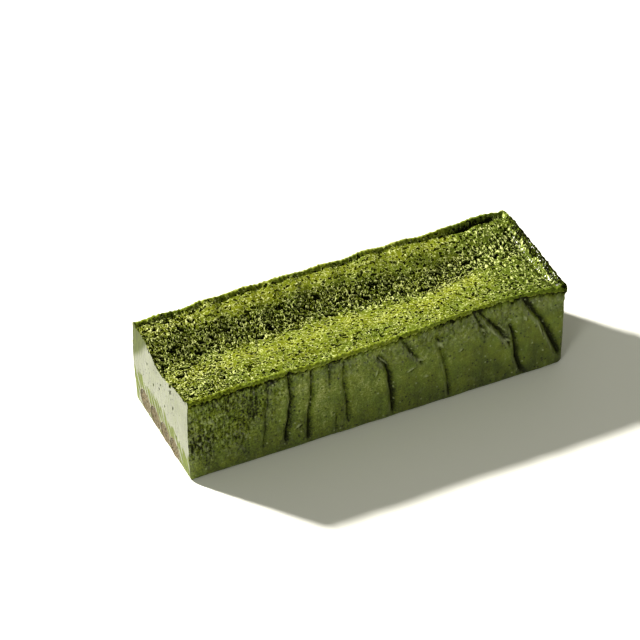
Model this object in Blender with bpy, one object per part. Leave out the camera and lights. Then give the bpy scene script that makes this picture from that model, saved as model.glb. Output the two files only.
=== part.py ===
"""A green tea terrine: a cut loaf of set custard with black beans at its base.

The loaf lies along X. Its cut end faces -X, its moulded end +X and its shown side -Y.
It was baked in a lined tin, so its walls carry the creases of the paper, its top is an open
crumb that sank along the middle, and its rim stood up against the tin. The last slice was
cut through four whole beans, which show as half beans in pockets of the cut end.

The lengths below are millimetres, and MM turns them into Blender's metres.
"""

import math

import bmesh
import bpy
import numpy as np

MM = 0.001

# Driving sizes of the loaf
LENGTH = 158.0
WIDTH = 52.0
HEIGHT = 37.0
HALF_LENGTH = LENGTH / 2
HALF_WIDTH = WIDTH / 2

# Rim heights, as (place along X, height), on the shown side and on the far side
FRONT_RIM = [(-79, 37.0), (-64, 37.4), (-42, 37.7), (-28, 37.2), (2, 37.6), (27, 38.3),
             (46, 38.6), (60, 38.3), (70, 37.7), (79, 37.3)]
BACK_RIM = [(-79, 37.9), (-40, 37.7), (0, 37.9), (35, 38.6), (60, 39.4), (73, 39.8), (79, 40.3)]
BACK_RIM_BUMP = 0.3
BACK_RIM_BUMP_REACH = 17.0

# The sunken top: its lowest line as (X, Y), how deep it sinks there as (X, depth), and how
# the depth runs from the edge (0) to that line (1) on each side
VALLEY_LINE = [(-79, 0.5), (-60, 2.0), (-30, 1.6), (-9, 3.2), (12, 0.6), (31, 0.9), (50, 4.5),
               (79, 6.0)]
VALLEY_DEPTH = [(-79, 4.7), (-30, 4.5), (20, 4.4), (45, 4.1), (60, 2.7), (72, 0.9), (79, 0.0)]
FRONT_SLOPE = [(0, 0), (0.3, 0.19), (0.6, 0.5), (0.82, 0.83), (1, 1)]
BACK_SLOPE = [(0, 0), (0.36, 0.05), (0.5, 0.2), (0.72, 0.66), (0.88, 0.94), (1, 1)]

# The rim's lip: its round edge, its crest, and its height over the crumb inside it
LIP_RADIUS = 1.0
LIP_CREST = 1.0
LIP_FALL = 1.7
FRONT_LIP = 0.6
BACK_LIP = [(-79, 0.8), (-50, 1.1), (10, 1.0), (35, 1.4), (52, 2.1), (72, 2.2), (79, 1.8)]

# The steep slope behind the valley line, in distances behind it: start, full, full, end
STEEP_BAND = (-1.0, 2.0, 11.0, 14.0)

# Walls: how far the tin's corners and the base are rounded, and how the walls lean and bulge
CORNER_RADIUS = 2.6
BASE_RADIUS = 1.6
WALL_SWELL_HEIGHT = 0.15
WALL_SWELL_REACH = 16.0
WALL_FADE_POWER = 8
END_FADE = 12.0
FRONT_PULL = [(-79, 0.0), (10, 0.2), (27, 1.1), (48, 1.9), (62, 1.5), (72, 0.3), (79, -0.7)]
END_HOLLOW = 0.7
END_HOLLOW_PLACE = -4.0
CORNER_EAR = 1.3
CORNER_EAR_PLACE = -24.0
CORNER_EAR_WIDTH = 4.0
CORNER_EAR_RISE = (28.0, 36.0)
CUT_SKEW = 0.023
CUT_BULGE = 0.5
CUT_SETBACK = 0.6
CUT_SETBACK_HEIGHT = 2.5
BACK_BULGE = 1.5
BACK_BULGE_REACH = 13.0
BACK_BULGE_PLACE = 26.0
BACK_BULGE_SPREAD = 13.0

# Creases that the tin's paper left in the shown side: the line as (X, Z) from the top down,
# then depth and half width
FRONT_CREASES = [
    ([(-46.9, 36), (-47.5, 25), (-49.2, 6)], 0.6, 1.1),
    ([(-38.5, 36), (-37.7, 24), (-38.7, 15), (-40.1, 5)], 1.3, 1.3),
    ([(-29.1, 34), (-29.4, 23), (-30.6, 14), (-30.9, 2)], 1.1, 1.2),
    ([(-22.0, 35), (-22.0, 26)], 0.6, 1.0),
    ([(-19.3, 10), (-19.3, 3)], 0.5, 1.0),
    ([(-15.7, 33), (-16.1, 24), (-14.8, 17), (-14.1, 6)], 0.8, 1.2),
    ([(-1.2, 30), (1.5, 26.5), (3.0, 20.7), (4.0, 13), (5.0, 1)], 1.3, 1.3),
    ([(8.3, 36), (12.7, 27.5), (16.6, 22)], 0.8, 1.3),
    ([(23.5, 31), (26.4, 20), (28.3, 10), (28.7, 2)], 0.8, 1.3),
    ([(39.6, 37), (44.3, 25)], 0.9, 1.3),
    ([(41.8, 36), (51.0, 24), (55.1, 17)], 1.1, 1.4),
    ([(55.5, 25), (57.4, 18), (57.9, 10), (60.2, 2)], 1.3, 1.3),
    ([(59.9, 37), (64.1, 30.4), (68.8, 23.8), (72.6, 15), (76.4, 6)], 1.4, 1.6),
]
# A groove's low bead beside it, and how it fades just above the base and past its ends
CREASE_BEAD = 0.35
CREASE_BEAD_OFFSET = 2.2
CREASE_CLEAR_OF_BASE = (0.5, 4.0)
CREASE_END_FADE = 2.0
# The same kind of creases on the far side and the moulded end, laid out by rule
HIDDEN_CREASE_STEP = 15.0
HIDDEN_CREASE_DEPTH = (0.35, 1.0)
HIDDEN_CREASE_WIDTH = 1.3
HIDDEN_CREASE_FOOT = (1.0, 7.0)
HIDDEN_CREASE_HEAD = (24.0, 36.0)
HIDDEN_CREASE_LEAN = 3.0

# Crumb of the top: low swells, and pits one to a square cell
SWELL_HEIGHT = 0.28
SWELL_REACH = 9.0
CRUMB_HEIGHT = 0.22
CRUMB_REACH = 3.6
PIT_CELL = 3.4
PIT_CORE = 0.1
PIT_RADIUS = 0.42
PIT_DEPTH = 1.0
PIT_SHARE_SLOPE = 0.6
PIT_SHARE_FLAT = 0.16

# Beans along the base of the cut end, from the back: the radius of each, how far its middle
# lies behind the cut, and how far it is lifted off the custard under it
BEAN_RADII = [4.5, 4.3, 4.2, 4.0]
BEAN_SET_IN = [0.5, 0.9, 0.3, 0.7]
BEAN_LIFT = [1.3, 0.8, 0.3, 0.1]
BEAN_FIRST_Y = 17.0
BEAN_FLOOR = 1.0
BEAN_FLATTEN = 0.97
BEAN_STRETCH = 1.12
BEAN_GAP = 0.3
BEAN_WEB = 0.4
BEAN_RECESS = 0.15
BEAN_SIDES = 14
BEAN_RINGS = 7
BEAN_SHARP_ANGLE = 40.0
POCKET_MOUTH = 1.0

# Spacing of the loaf's faces
STEP_ALONG = 1.76
STEP_ACROSS = 1.6
EDGE_ROWS = [0.0, 0.3, 0.9, 1.9, 3.2]
WALL_LEVELS = [0.0, 0.012, 0.045, 0.2, 0.4, 0.6, 0.8, 0.94, 1.0]

CUSTARD = (0.13, 0.165, 0.03, 1.0)
CUSTARD_ROUGHNESS = 0.45
BEAN_SKIN = (0.03, 0.018, 0.018, 1.0)
BEAN_ROUGHNESS = 0.25


def curve(knots, place):
    """A smooth curve through (place, value) knots, level at its first and last knot.

    Between two knots it is a cubic with the slope, at each knot, of the chord across it.
    """
    places, values = np.array(knots, float).T
    slopes = np.zeros(len(places))
    slopes[1:-1] = (values[2:] - values[:-2]) / (places[2:] - places[:-2])
    first = np.clip(np.searchsorted(places, place) - 1, 0, len(places) - 2)
    span = places[first + 1] - places[first]
    t = np.clip((place - places[first]) / span, 0.0, 1.0)
    start = values[first] * (1 + 2 * t) + slopes[first] * span * t
    end = values[first + 1] * (3 - 2 * t) - slopes[first + 1] * span * (1 - t)
    return start * (1 - t) ** 2 + end * t ** 2


def ease(low, high, value):
    """0 below low, 1 above high, and a smooth S between them."""
    t = np.clip((value - low) / (high - low), 0.0, 1.0)
    return t * t * (3 - 2 * t)


def swell(a, b, reach, seed, waves=14):
    """A soft uneven swell of about -1 to 1: sine waves of about one length, strewn in heading."""
    rng = np.random.default_rng(seed)
    total = np.zeros(np.shape(a))
    for _ in range(waves):
        heading, phase = rng.uniform(0, 2 * math.pi, 2)
        turns = 2 * math.pi / (reach * rng.uniform(0.7, 1.5))
        total = total + np.sin(turns * (a * math.cos(heading) + b * math.sin(heading)) + phase)
    return total / math.sqrt(waves) * 0.8


def strewn_cells(a, b, size, seed, table_side=96):
    """Distance to the nearest of points strewn one to a square cell, in cells, and its draw."""
    table = np.random.default_rng(seed).random((table_side, table_side, 3))
    column, row = np.floor(a / size).astype(int), np.floor(b / size).astype(int)
    nearest = np.full(np.shape(a), 9.0)
    draw = np.zeros(np.shape(a))
    for step_a in (-1, 0, 1):
        for step_b in (-1, 0, 1):
            cell = table[(column + step_a) % table_side, (row + step_b) % table_side]
            away = np.hypot(column + step_a + cell[..., 0] - a / size,
                            row + step_b + cell[..., 1] - b / size)
            closer = away < nearest
            nearest = np.where(closer, away, nearest)
            draw = np.where(closer, cell[..., 2], draw)
    return nearest, draw


def rim_height(x, y):
    """Height of the rim, blended evenly from the front rim to the bumpy back rim."""
    across = (y + HALF_WIDTH) / WIDTH
    bumps = BACK_RIM_BUMP * np.cos(2 * math.pi * x / BACK_RIM_BUMP_REACH)
    return (1 - across) * curve(FRONT_RIM, x) + across * (curve(BACK_RIM, x) + bumps)


def back_slope_share(x, y):
    """1 on the steep slope behind the valley line, 0 elsewhere."""
    behind = y - curve(VALLEY_LINE, x)
    start, full, last, end = STEEP_BAND
    return ease(start, full, behind) * (1 - ease(last, end, behind))


def bowl_depth(x, y):
    """Depth of the sunken top below its edges: the valley's depth times each side's slope."""
    valley = curve(VALLEY_LINE, x)
    front = curve(FRONT_SLOPE, (y + HALF_WIDTH) / (valley + HALF_WIDTH))
    back = curve(BACK_SLOPE, (HALF_WIDTH - y) / (HALF_WIDTH - valley))
    return curve(VALLEY_DEPTH, x) * np.where(y < valley, front, back)


def edge_distance(x, y):
    """Distance to the nearest moulded edge: the front, the back or the far end."""
    return np.minimum(np.minimum(y + HALF_WIDTH, HALF_WIDTH - y), HALF_LENGTH - x)


def crumb(x, y):
    """Relief of the open crumb: low swells, small lumps, and pits, more on the steep slope."""
    away, draw = strewn_cells(x, y, PIT_CELL, seed=11)
    share = PIT_SHARE_FLAT + (PIT_SHARE_SLOPE - PIT_SHARE_FLAT) * back_slope_share(x, y)
    pits = np.where(draw < share, PIT_DEPTH * (1 - ease(PIT_CORE, PIT_RADIUS, away)), 0.0)
    lumps = SWELL_HEIGHT * swell(x, y, SWELL_REACH, seed=3)
    lumps = lumps + CRUMB_HEIGHT * swell(x, y, CRUMB_REACH, seed=5)
    return (lumps - pits) * ease(LIP_CREST, LIP_CREST + LIP_FALL, edge_distance(x, y))


def top_height(x, y):
    """Height of the top: the rim less its lip's fall, the sunken bowl and the round edge."""
    edge = edge_distance(x, y)
    across = (y + HALF_WIDTH) / WIDTH
    lip = ((1 - across) * FRONT_LIP + across * curve(BACK_LIP, x))
    inside = ease(LIP_CREST, LIP_CREST + LIP_FALL, edge)
    short = np.clip(LIP_RADIUS - edge, 0.0, LIP_RADIUS)
    rounding = LIP_RADIUS - np.sqrt(LIP_RADIUS ** 2 - short ** 2)
    return rim_height(x, y) - lip * inside - bowl_depth(x, y) - rounding + crumb(x, y)


def crease_relief(along, z, creases):
    """Depth of the paper's creases: a groove with a low bead on its left, fading at its ends."""
    depth = np.zeros(np.shape(along))
    for line, groove, half_width in creases:
        upward = np.array(line[::-1], float)
        foot, head = upward[0, 1], upward[-1, 1]
        offset = (along - np.interp(z, upward[:, 1], upward[:, 0])) / half_width
        reach = ease(foot - CREASE_END_FADE, foot, z) * (1 - ease(head, head + CREASE_END_FADE, z))
        bead = CREASE_BEAD * np.exp(-(offset + CREASE_BEAD_OFFSET) ** 2)
        depth = depth + groove * reach * (np.exp(-offset ** 2) - bead)
    return depth * ease(*CREASE_CLEAR_OF_BASE, z)


def hidden_creases(length, seed):
    """Creases by rule: about one to each step, leaning and ending at seeded heights."""
    rng = np.random.default_rng(seed)
    creases = []
    for number in range(int(length / HIDDEN_CREASE_STEP)):
        foot = (number + rng.uniform(0.25, 0.75)) * HIDDEN_CREASE_STEP - length / 2
        head = foot + rng.uniform(-HIDDEN_CREASE_LEAN, HIDDEN_CREASE_LEAN)
        low, high = rng.uniform(*HIDDEN_CREASE_FOOT), rng.uniform(*HIDDEN_CREASE_HEAD)
        depth = rng.uniform(*HIDDEN_CREASE_DEPTH)
        creases.append(([(head, high), (foot, low)], depth, HIDDEN_CREASE_WIDTH))
    return creases


BACK_CREASES = hidden_creases(LENGTH, seed=21)
END_CREASES = hidden_creases(WIDTH - 2 * CORNER_RADIUS, seed=22)


def base_inset(z):
    """How far the round base edge draws a wall in at height z."""
    short = np.clip(BASE_RADIUS - z, 0.0, BASE_RADIUS)
    return BASE_RADIUS - np.sqrt(np.maximum(BASE_RADIUS ** 2 - short ** 2, 0.0))


def side_offset(x, y, z):
    """How far a long wall stands out from its plane, for the front (y < 0) and the back."""
    front = -curve(FRONT_PULL, x) * (z / HEIGHT) ** 1.5 - crease_relief(x, z, FRONT_CREASES)
    bulge = np.exp(-((x + HALF_LENGTH) / BACK_BULGE_REACH) ** 2)
    bulge = bulge * np.exp(-((z - BACK_BULGE_PLACE) / BACK_BULGE_SPREAD) ** 2)
    back = BACK_BULGE * bulge - crease_relief(x, z, BACK_CREASES)
    uneven = WALL_SWELL_HEIGHT * swell(x, z, WALL_SWELL_REACH, seed=8)
    return np.where(y < 0, front, back) - base_inset(z) + uneven


def far_end_offset(y, z):
    """How far the moulded end stands out: hollow, creased, with an ear at its front corner."""
    across = np.cos(math.pi * (y - END_HOLLOW_PLACE) / WIDTH).clip(0, 1)
    hollow = END_HOLLOW * across * z / HEIGHT
    ear = CORNER_EAR * np.exp(-((y - CORNER_EAR_PLACE) / CORNER_EAR_WIDTH) ** 2)
    ear = ear * ease(*CORNER_EAR_RISE, z)
    return ear - hollow - crease_relief(y, z, END_CREASES) - base_inset(z)


def cut_end_offset(y, z):
    """Where the cut lies, towards +X: askew, bulging at mid height, set back at the base."""
    setback = CUT_SETBACK * np.clip(1 - z / CUT_SETBACK_HEIGHT, 0.0, 1.0) ** 2
    return CUT_SKEW * y + setback - CUT_BULGE * np.sin(math.pi * np.clip(z / HEIGHT, 0, 1))


def round_corners(x, y):
    """Turns the square far corners into round ones: a square of the radius becomes a disc."""
    inner_x, inner_y = HALF_LENGTH - CORNER_RADIUS, HALF_WIDTH - CORNER_RADIUS
    out_x = np.clip(x - inner_x, 0.0, None) / CORNER_RADIUS
    out_y = np.clip(np.abs(y) - inner_y, 0.0, None) / CORNER_RADIUS
    new_x = np.where(out_x > 0, inner_x + CORNER_RADIUS * out_x * np.sqrt(1 - out_y ** 2 / 2), x)
    new_y = inner_y + CORNER_RADIUS * out_y * np.sqrt(1 - out_x ** 2 / 2)
    return new_x, np.where(out_y > 0, np.sign(y) * new_y, y)


def place(x, y, level):
    """Places a point of the straight block on the loaf; level is 0 at the base, 1 on top."""
    z = level * top_height(x, y)
    sideways = side_offset(x, y, z) * np.abs(y / HALF_WIDTH) ** WALL_FADE_POWER
    toward_far = ease(HALF_LENGTH - END_FADE, HALF_LENGTH, x)
    toward_cut = 1 - ease(-HALF_LENGTH, -HALF_LENGTH + END_FADE, x)
    new_x, new_y = round_corners(x, y)
    new_x = new_x + far_end_offset(y, z) * toward_far + cut_end_offset(y, z) * toward_cut
    return new_x, new_y + np.sign(y) * sideways, z


def stations(low, high, step, low_rows, high_rows):
    """Places of the grid's lines: close rows by each edge and even steps between them."""
    start, end = low + low_rows[-1], high - high_rows[-1]
    middle = np.linspace(start, end, round((end - start) / step) + 1)
    return np.concatenate([low + np.array(low_rows[:-1]), middle,
                           high - np.array(high_rows[-2::-1])])


def new_object(name, mesh_bm, colour, roughness):
    """Makes a named object from a bmesh, with its own material."""
    mesh = bpy.data.meshes.new(name)
    mesh_bm.to_mesh(mesh)
    mesh_bm.free()
    material = bpy.data.materials.new(name)
    material.use_nodes = True
    shader = material.node_tree.nodes["Principled BSDF"]
    shader.inputs["Base Color"].default_value = colour
    shader.inputs["Roughness"].default_value = roughness
    mesh.materials.append(material)
    thing = bpy.data.objects.new(name, mesh)
    bpy.context.collection.objects.link(thing)
    return thing


def loaf_mesh():
    """The loaf as the shell of a grid of points, six sides sharing their edge points."""
    xs = stations(-HALF_LENGTH, HALF_LENGTH, STEP_ALONG, [0.0], EDGE_ROWS)
    ys = stations(-HALF_WIDTH, HALF_WIDTH, STEP_ACROSS, EDGE_ROWS, EDGE_ROWS)
    levels = np.array(WALL_LEVELS)
    last_x, last_y, last_z = len(xs) - 1, len(ys) - 1, len(levels) - 1
    i, j, k = np.meshgrid(range(len(xs)), range(len(ys)), range(len(levels)), indexing="ij")
    on_side = (i == 0) | (i == last_x) | (j == 0) | (j == last_y)
    shell = on_side | (k == last_z)
    number = np.full(shell.shape, -1)
    number[shell] = np.arange(shell.sum())
    x, y, z = place(xs[i[shell]], ys[j[shell]], levels[k[shell]])
    middle = [(np.max(x) + np.min(x)) / 2, (np.max(y) + np.min(y)) / 2]
    points = np.stack([x - middle[0], y - middle[1], z], axis=1) * MM

    loaf = bmesh.new()
    verts = [loaf.verts.new(point) for point in points]

    def panel(grid, flip):
        """Faces over a grid of point numbers, wound so that they point outwards."""
        for a in range(grid.shape[0] - 1):
            for b in range(grid.shape[1] - 1):
                corners = [grid[a, b], grid[a + 1, b], grid[a + 1, b + 1], grid[a, b + 1]]
                corners = corners[::-1] if flip else corners
                loaf.faces.new([verts[corner] for corner in corners])

    panel(number[:, :, last_z], flip=False)
    panel(number[:, 0, :], flip=False)
    panel(number[:, last_y, :], flip=True)
    panel(number[0], flip=True)
    panel(number[last_x], flip=False)
    base = list(number[:-1, 0, 0]) + list(number[last_x, :-1, 0])
    base += list(number[:0:-1, last_y, 0]) + list(number[0, :0:-1, 0])
    loaf.faces.new([verts[corner] for corner in base[::-1]])
    return loaf, middle


def bean_centres(middle):
    """Radius and centre of each bean: side by side from the back along the base of the cut."""
    beans = []
    y = BEAN_FIRST_Y
    for index, radius in enumerate(BEAN_RADII):
        if index:
            y -= BEAN_RADII[index - 1] + radius + 2 * BEAN_GAP + BEAN_WEB
        z = BEAN_FLOOR + BEAN_LIFT[index] + radius * BEAN_FLATTEN
        cut_x = -HALF_LENGTH + float(cut_end_offset(y, z))
        centre = (cut_x + BEAN_SET_IN[index] - middle[0], y - middle[1], z)
        beans.append((radius, centre, cut_x - middle[0]))
    return beans


def bean_mesh(radius, centre, face_x, grow=0.0):
    """A bean as a turned egg shape about X, ending in a flat cut face at face_x.

    The outline runs from the tip inside the loaf over the widest ring to the cut face.
    """
    front = math.acos(max(-1.0, min(1.0, (centre[0] - face_x) / (radius + grow))))
    bean = bmesh.new()
    rings = []
    for ring in range(1, BEAN_RINGS + 1):
        angle = (math.pi - front) * ring / BEAN_RINGS
        out = (radius + grow) * math.sin(angle)
        x = centre[0] + (radius + grow) * BEAN_STRETCH * math.cos(angle)
        if ring == BEAN_RINGS:
            x = face_x
        turn = [2 * math.pi * side / BEAN_SIDES for side in range(BEAN_SIDES)]
        rings.append([bean.verts.new((x * MM, (centre[1] + out * math.cos(a)) * MM,
                                      (centre[2] + out * BEAN_FLATTEN * math.sin(a)) * MM))
                      for a in turn])
    tip = bean.verts.new(((centre[0] + (radius + grow) * BEAN_STRETCH) * MM,
                          centre[1] * MM, centre[2] * MM))
    for side in range(BEAN_SIDES):
        after = (side + 1) % BEAN_SIDES
        bean.faces.new([tip, rings[0][side], rings[0][after]])
        for near, far in zip(rings[:-1], rings[1:]):
            bean.faces.new([near[side], far[side], far[after], near[after]])
    bean.faces.new(rings[-1][::-1])
    bmesh.ops.recalc_face_normals(bean, faces=bean.faces)
    return bean


def cut_pockets(loaf, beans):
    """Cuts a pocket for each bean, a gap wider than the bean and open at the cut end."""
    for index, (radius, centre, face_x) in enumerate(beans):
        shape = bean_mesh(radius, centre, face_x - POCKET_MOUTH, grow=BEAN_GAP)
        cutter = new_object(f"pocket_cutter_{index + 1}", shape, BEAN_SKIN, BEAN_ROUGHNESS)
        cutter.hide_render = True
        cutter.display_type = "WIRE"
        cut = loaf.modifiers.new(f"pocket_{index + 1}", "BOOLEAN")
        cut.operation = "DIFFERENCE"
        cut.solver = "EXACT"
        cut.object = cutter


def main():
    """Clears the scene and builds the loaf and its beans."""
    for thing in list(bpy.data.objects):
        bpy.data.objects.remove(thing, do_unlink=True)
    shell, middle = loaf_mesh()
    loaf = new_object("terrine", shell, CUSTARD, CUSTARD_ROUGHNESS)
    beans = bean_centres(middle)
    cut_pockets(loaf, beans)
    for index, (radius, centre, cut_x) in enumerate(beans):
        shape = bean_mesh(radius, centre, cut_x + BEAN_RECESS)
        bean = new_object(f"bean_{index + 1}", shape, BEAN_SKIN, BEAN_ROUGHNESS)
        bean.data.shade_smooth()
        bean.data.set_sharp_from_angle(angle=math.radians(BEAN_SHARP_ANGLE))


main()
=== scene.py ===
"""The looks of a green tea terrine: a cut loaf of set custard with black beans at its base.

The loaf lies along X: its cut end faces -X, its moulded end +X and its shown side -Y.
Its form is worked out again on a fine grid, from the same sizes as the solid, but its lip
stands a little higher and further out. It takes on the open crumb of the top, the creases and
pores of the walls, the knife's marks on the cut end and the halved beans in their pockets.
Lengths are millimetres, and MM makes them metres.
"""

import math

import bpy
import numpy as np
from mathutils import Matrix, Vector


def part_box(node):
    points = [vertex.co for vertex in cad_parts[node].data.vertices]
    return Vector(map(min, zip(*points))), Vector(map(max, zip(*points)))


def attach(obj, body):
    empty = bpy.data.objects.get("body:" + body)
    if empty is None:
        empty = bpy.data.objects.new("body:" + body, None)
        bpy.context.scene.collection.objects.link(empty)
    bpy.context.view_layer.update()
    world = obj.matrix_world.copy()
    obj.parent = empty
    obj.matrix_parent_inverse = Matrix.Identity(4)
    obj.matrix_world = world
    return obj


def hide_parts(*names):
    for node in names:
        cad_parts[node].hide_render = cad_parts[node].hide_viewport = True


MM = 0.001

# Driving sizes of the loaf
LENGTH = 158.0
WIDTH = 52.0
HEIGHT = 37.0
HALF_LENGTH = LENGTH / 2
HALF_WIDTH = WIDTH / 2

# Rim heights, as (place along X, height), on the shown side and on the far side
FRONT_RIM = [(-79, 37.0), (-64, 37.4), (-42, 37.7), (-28, 37.2), (2, 37.6), (27, 38.3),
             (46, 38.6), (60, 38.3), (70, 37.7), (79, 37.3)]
BACK_RIM = [(-79, 37.9), (-40, 37.7), (0, 37.9), (35, 38.6), (60, 39.4), (73, 39.8), (79, 40.3)]
BACK_RIM_BUMP = 0.3
BACK_RIM_BUMP_REACH = 17.0

# The sunken top: its lowest line as (X, Y), how deep it sinks there as (X, depth), and how
# the depth runs from the edge (0) to that line (1) on each side
VALLEY_LINE = [(-79, 0.5), (-60, 2.0), (-30, 1.6), (-9, 3.2), (12, 0.6), (31, 0.9), (50, 4.5),
               (79, 6.0)]
VALLEY_DEPTH = [(-79, 4.7), (-30, 4.5), (20, 4.4), (45, 4.1), (60, 2.7), (72, 0.9), (79, 0.0)]
FRONT_SLOPE = [(0, 0), (0.3, 0.19), (0.6, 0.5), (0.82, 0.83), (1, 1)]
BACK_SLOPE = [(0, 0), (0.36, 0.05), (0.5, 0.2), (0.72, 0.66), (0.88, 0.94), (1, 1)]

# The rim's lip: its round edge, its crest, and its height over the crumb inside it
LIP_RADIUS = 1.0
LIP_CREST = 1.0
LIP_FALL = 1.7
FRONT_LIP = 0.6
BACK_LIP = [(-79, 0.8), (-50, 1.1), (10, 1.0), (35, 1.2), (52, 1.5), (72, 1.3), (79, 1.1)]

# How much higher the lip stands, and how much further out, than the solid's plainer rim: along
# the back as (X, rise) and along the far end as (Y, rise) and (Y, out)
BACK_RISE = [(-79, 0.0), (-62, 0.5), (-45, 1.5), (-14, 1.6), (4, 1.1), (20, 1.4), (35, 0.7),
             (45, 0.0), (60, 0.4), (72, 0.2), (79, 0.0)]
BACK_LIP_OUT = 0.6
FAR_RISE = [(-26, 0.0), (-20, 0.8), (-10, 1.4), (8, 1.2), (20, 0.4), (26, 0.0)]
FAR_LIP_OUT = [(-26, 0.0), (-18, 0.5), (0, 1.0), (18, 1.4), (26, 1.2)]
# The rises fade out between these distances from the edge, and the rest between these depths
BACK_RISE_REACH = (2.0, 14.0)
FAR_RISE_REACH = (1.5, 5.5)
OUT_REACH = (1.5, 5.5)

# The steep slope behind the valley line, in distances behind it: start, full, full, end, and
# how much further forward it reaches by the moulded end
STEEP_BAND = (-1.0, 2.0, 10.5, 14.5)
STEEP_SPREAD = 5.5
STEEP_SPREAD_RANGE = (18.0, 36.0)

# Walls: how far the tin's corners and the base are rounded, and how the walls lean and bulge
CORNER_RADIUS = 2.6
BASE_RADIUS = 1.6
WALL_SWELL_HEIGHT = 0.15
WALL_SWELL_REACH = 16.0
WALL_FADE_POWER = 8
END_FADE = 12.0
FRONT_PULL = [(-79, 0.0), (10, 0.2), (27, 1.1), (48, 1.9), (62, 1.5), (72, 0.3), (79, -0.7)]
FRONT_PULL_POWER = 1.5
END_HOLLOW = 0.7
END_HOLLOW_PLACE = -4.0
CORNER_EAR = 1.3
CORNER_EAR_PLACE = -24.0
CORNER_EAR_WIDTH = 4.0
CORNER_EAR_HEIGHT = 35.0
CORNER_EAR_SPREAD = 2.3
CUT_SKEW = 0.023
CUT_BULGE = 0.5
CUT_SETBACK = 0.6
CUT_SETBACK_HEIGHT = 2.5
BACK_BULGE = 1.5
BACK_BULGE_REACH = 13.0
BACK_BULGE_PLACE = 26.0
BACK_BULGE_SPREAD = 13.0

# Creases that the tin's paper left in the shown side: the line as (X, Z) from the top down,
# then depth and half width
FRONT_CREASES = [
    ([(-46.9, 36), (-47.5, 25), (-49.2, 6)], 0.6, 1.1),
    ([(-38.5, 36), (-37.7, 24), (-38.7, 15), (-40.1, 5)], 1.3, 1.3),
    ([(-29.1, 34), (-29.4, 23), (-30.6, 14), (-30.9, 2)], 1.1, 1.2),
    ([(-22.0, 35), (-22.0, 26)], 0.6, 1.0),
    ([(-19.3, 10), (-19.3, 3)], 0.5, 1.0),
    ([(-15.7, 33), (-16.1, 24), (-14.8, 17), (-14.1, 6)], 0.8, 1.2),
    ([(-1.2, 30), (1.5, 26.5), (3.0, 20.7), (4.0, 13), (5.0, 1)], 1.3, 1.3),
    ([(8.3, 36), (12.7, 27.5), (16.6, 22)], 0.8, 1.3),
    ([(23.5, 31), (26.4, 20), (28.3, 10), (28.7, 2)], 0.8, 1.3),
    ([(39.6, 37), (44.3, 25)], 0.9, 1.3),
    ([(41.8, 36), (51.0, 24), (55.1, 17)], 1.1, 1.4),
    ([(55.5, 25), (57.4, 18), (57.9, 10), (60.2, 2)], 1.3, 1.3),
    ([(59.9, 37), (64.1, 30.4), (68.8, 23.8), (72.6, 15), (76.4, 6)], 1.4, 1.6),
]
# A groove's low bead beside it, and how it fades just above the base and past its ends
CREASE_BEAD = 0.35
CREASE_BEAD_OFFSET = 2.2
CREASE_CLEAR_OF_BASE = (0.5, 4.0)
CREASE_END_FADE = 2.0
# The same kind of creases on the far side and the moulded end, laid out by rule
HIDDEN_CREASE_STEP = 15.0
HIDDEN_CREASE_DEPTH = (0.35, 1.0)
HIDDEN_CREASE_WIDTH = 1.3
HIDDEN_CREASE_FOOT = (1.0, 7.0)
HIDDEN_CREASE_HEAD = (24.0, 36.0)
HIDDEN_CREASE_LEAN = 3.0
# The fold at the bottom of each groove: how much deeper and narrower than the groove it is
FOLD_DEPTH = 0.45
FOLD_WIDTH = 0.3
FOLD_WANDER = 0.14
FOLD_WANDER_REACH = 9.0
# Its painted shading, in half widths of the groove: the painted shade to its right and the
# painted highlight on the bead's edge
FOLD_SHADE = 0.5
FOLD_SHADE_OFFSET = 0.4
FOLD_SHADE_WIDTH = 0.8
EDGE_OFFSET = 1.1
EDGE_WIDTH = 0.28
EDGE_REACH = 5.0
EDGE_PATCHES = (-0.4, 0.6)
BEAD_HIGHLIGHT = 0.45

# Crisp facets where the paper's folds met on the shown side, each raised a little, with a painted
# highlight on it and a painted shadow beside it: the middle as (X, Z), half length, half width
# and the heading in degrees up from +X
FACETS = [(25.0, 26.8, 2.4, 1.3, -50), (0.6, 28.0, 3.4, 0.55, -50), (16.3, 23.1, 1.8, 0.8, -15),
          (18.6, 15.0, 1.3, 0.6, -20), (12.1, 20.3, 2.4, 0.5, 25), (43.6, 26.8, 2.0, 0.8, -50),
          (47.4, 25.6, 6.6, 0.55, -53), (54.0, 18.9, 2.2, 0.9, -25), (68.0, 20.0, 4.6, 0.5, -72),
          (61.3, 27.4, 1.6, 0.8, -60), (-35.2, 10.4, 1.8, 0.6, 35), (-42.6, 29, 1.2, 0.6, -70),
          (33.5, 21.8, 1.6, 0.5, 30), (-2.6, 24.0, 2.0, 0.45, 75)]
FACET_EXTENT = 1.15
FACET_STEEPNESS = 1.7
FACET_HEIGHT = 0.3
FACET_HIGHLIGHT = 0.8
FACET_SHADE = 0.6
FACET_SHADOW = 0.6

# A swell's wave lengths, as shares of its reach, and the scale of its sum
SWELL_LENGTHS = (0.7, 1.5)
SWELL_SCALE = 0.8

# Crumb of the top: low swells
SWELL_HEIGHT = 0.2
SWELL_REACH = 9.0
CRUMB_HEIGHT = 0.08
CRUMB_REACH = 3.6

# Foam: a fine uneven field, whose pores open where it is lower than a level below its middle,
# first on the flat parts, then on the open ones: the steep slope and the end by the cut
FOAM_REACH = 1.4
FOAM_WAVES = 24
PORE_LEVEL_FLAT = 0.95
PORE_LEVEL_OPEN = 0.26
PORE_LEVEL_WET = 0.35
PORE_EDGE = 0.3
PORE_DEPTH_FLAT = 0.35
PORE_DEPTH_OPEN = 0.5
NEAR_CUT_RANGE = (-64.0, -48.0)
NEAR_CUT_SHARE = 0.8
# The open part takes deeper painted shade before the moulded end, where it turns to the light
DEEPER_RANGE = (30.0, 40.0, 50.0, 57.0)
DEEPER_SHARE = 0.6
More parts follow.
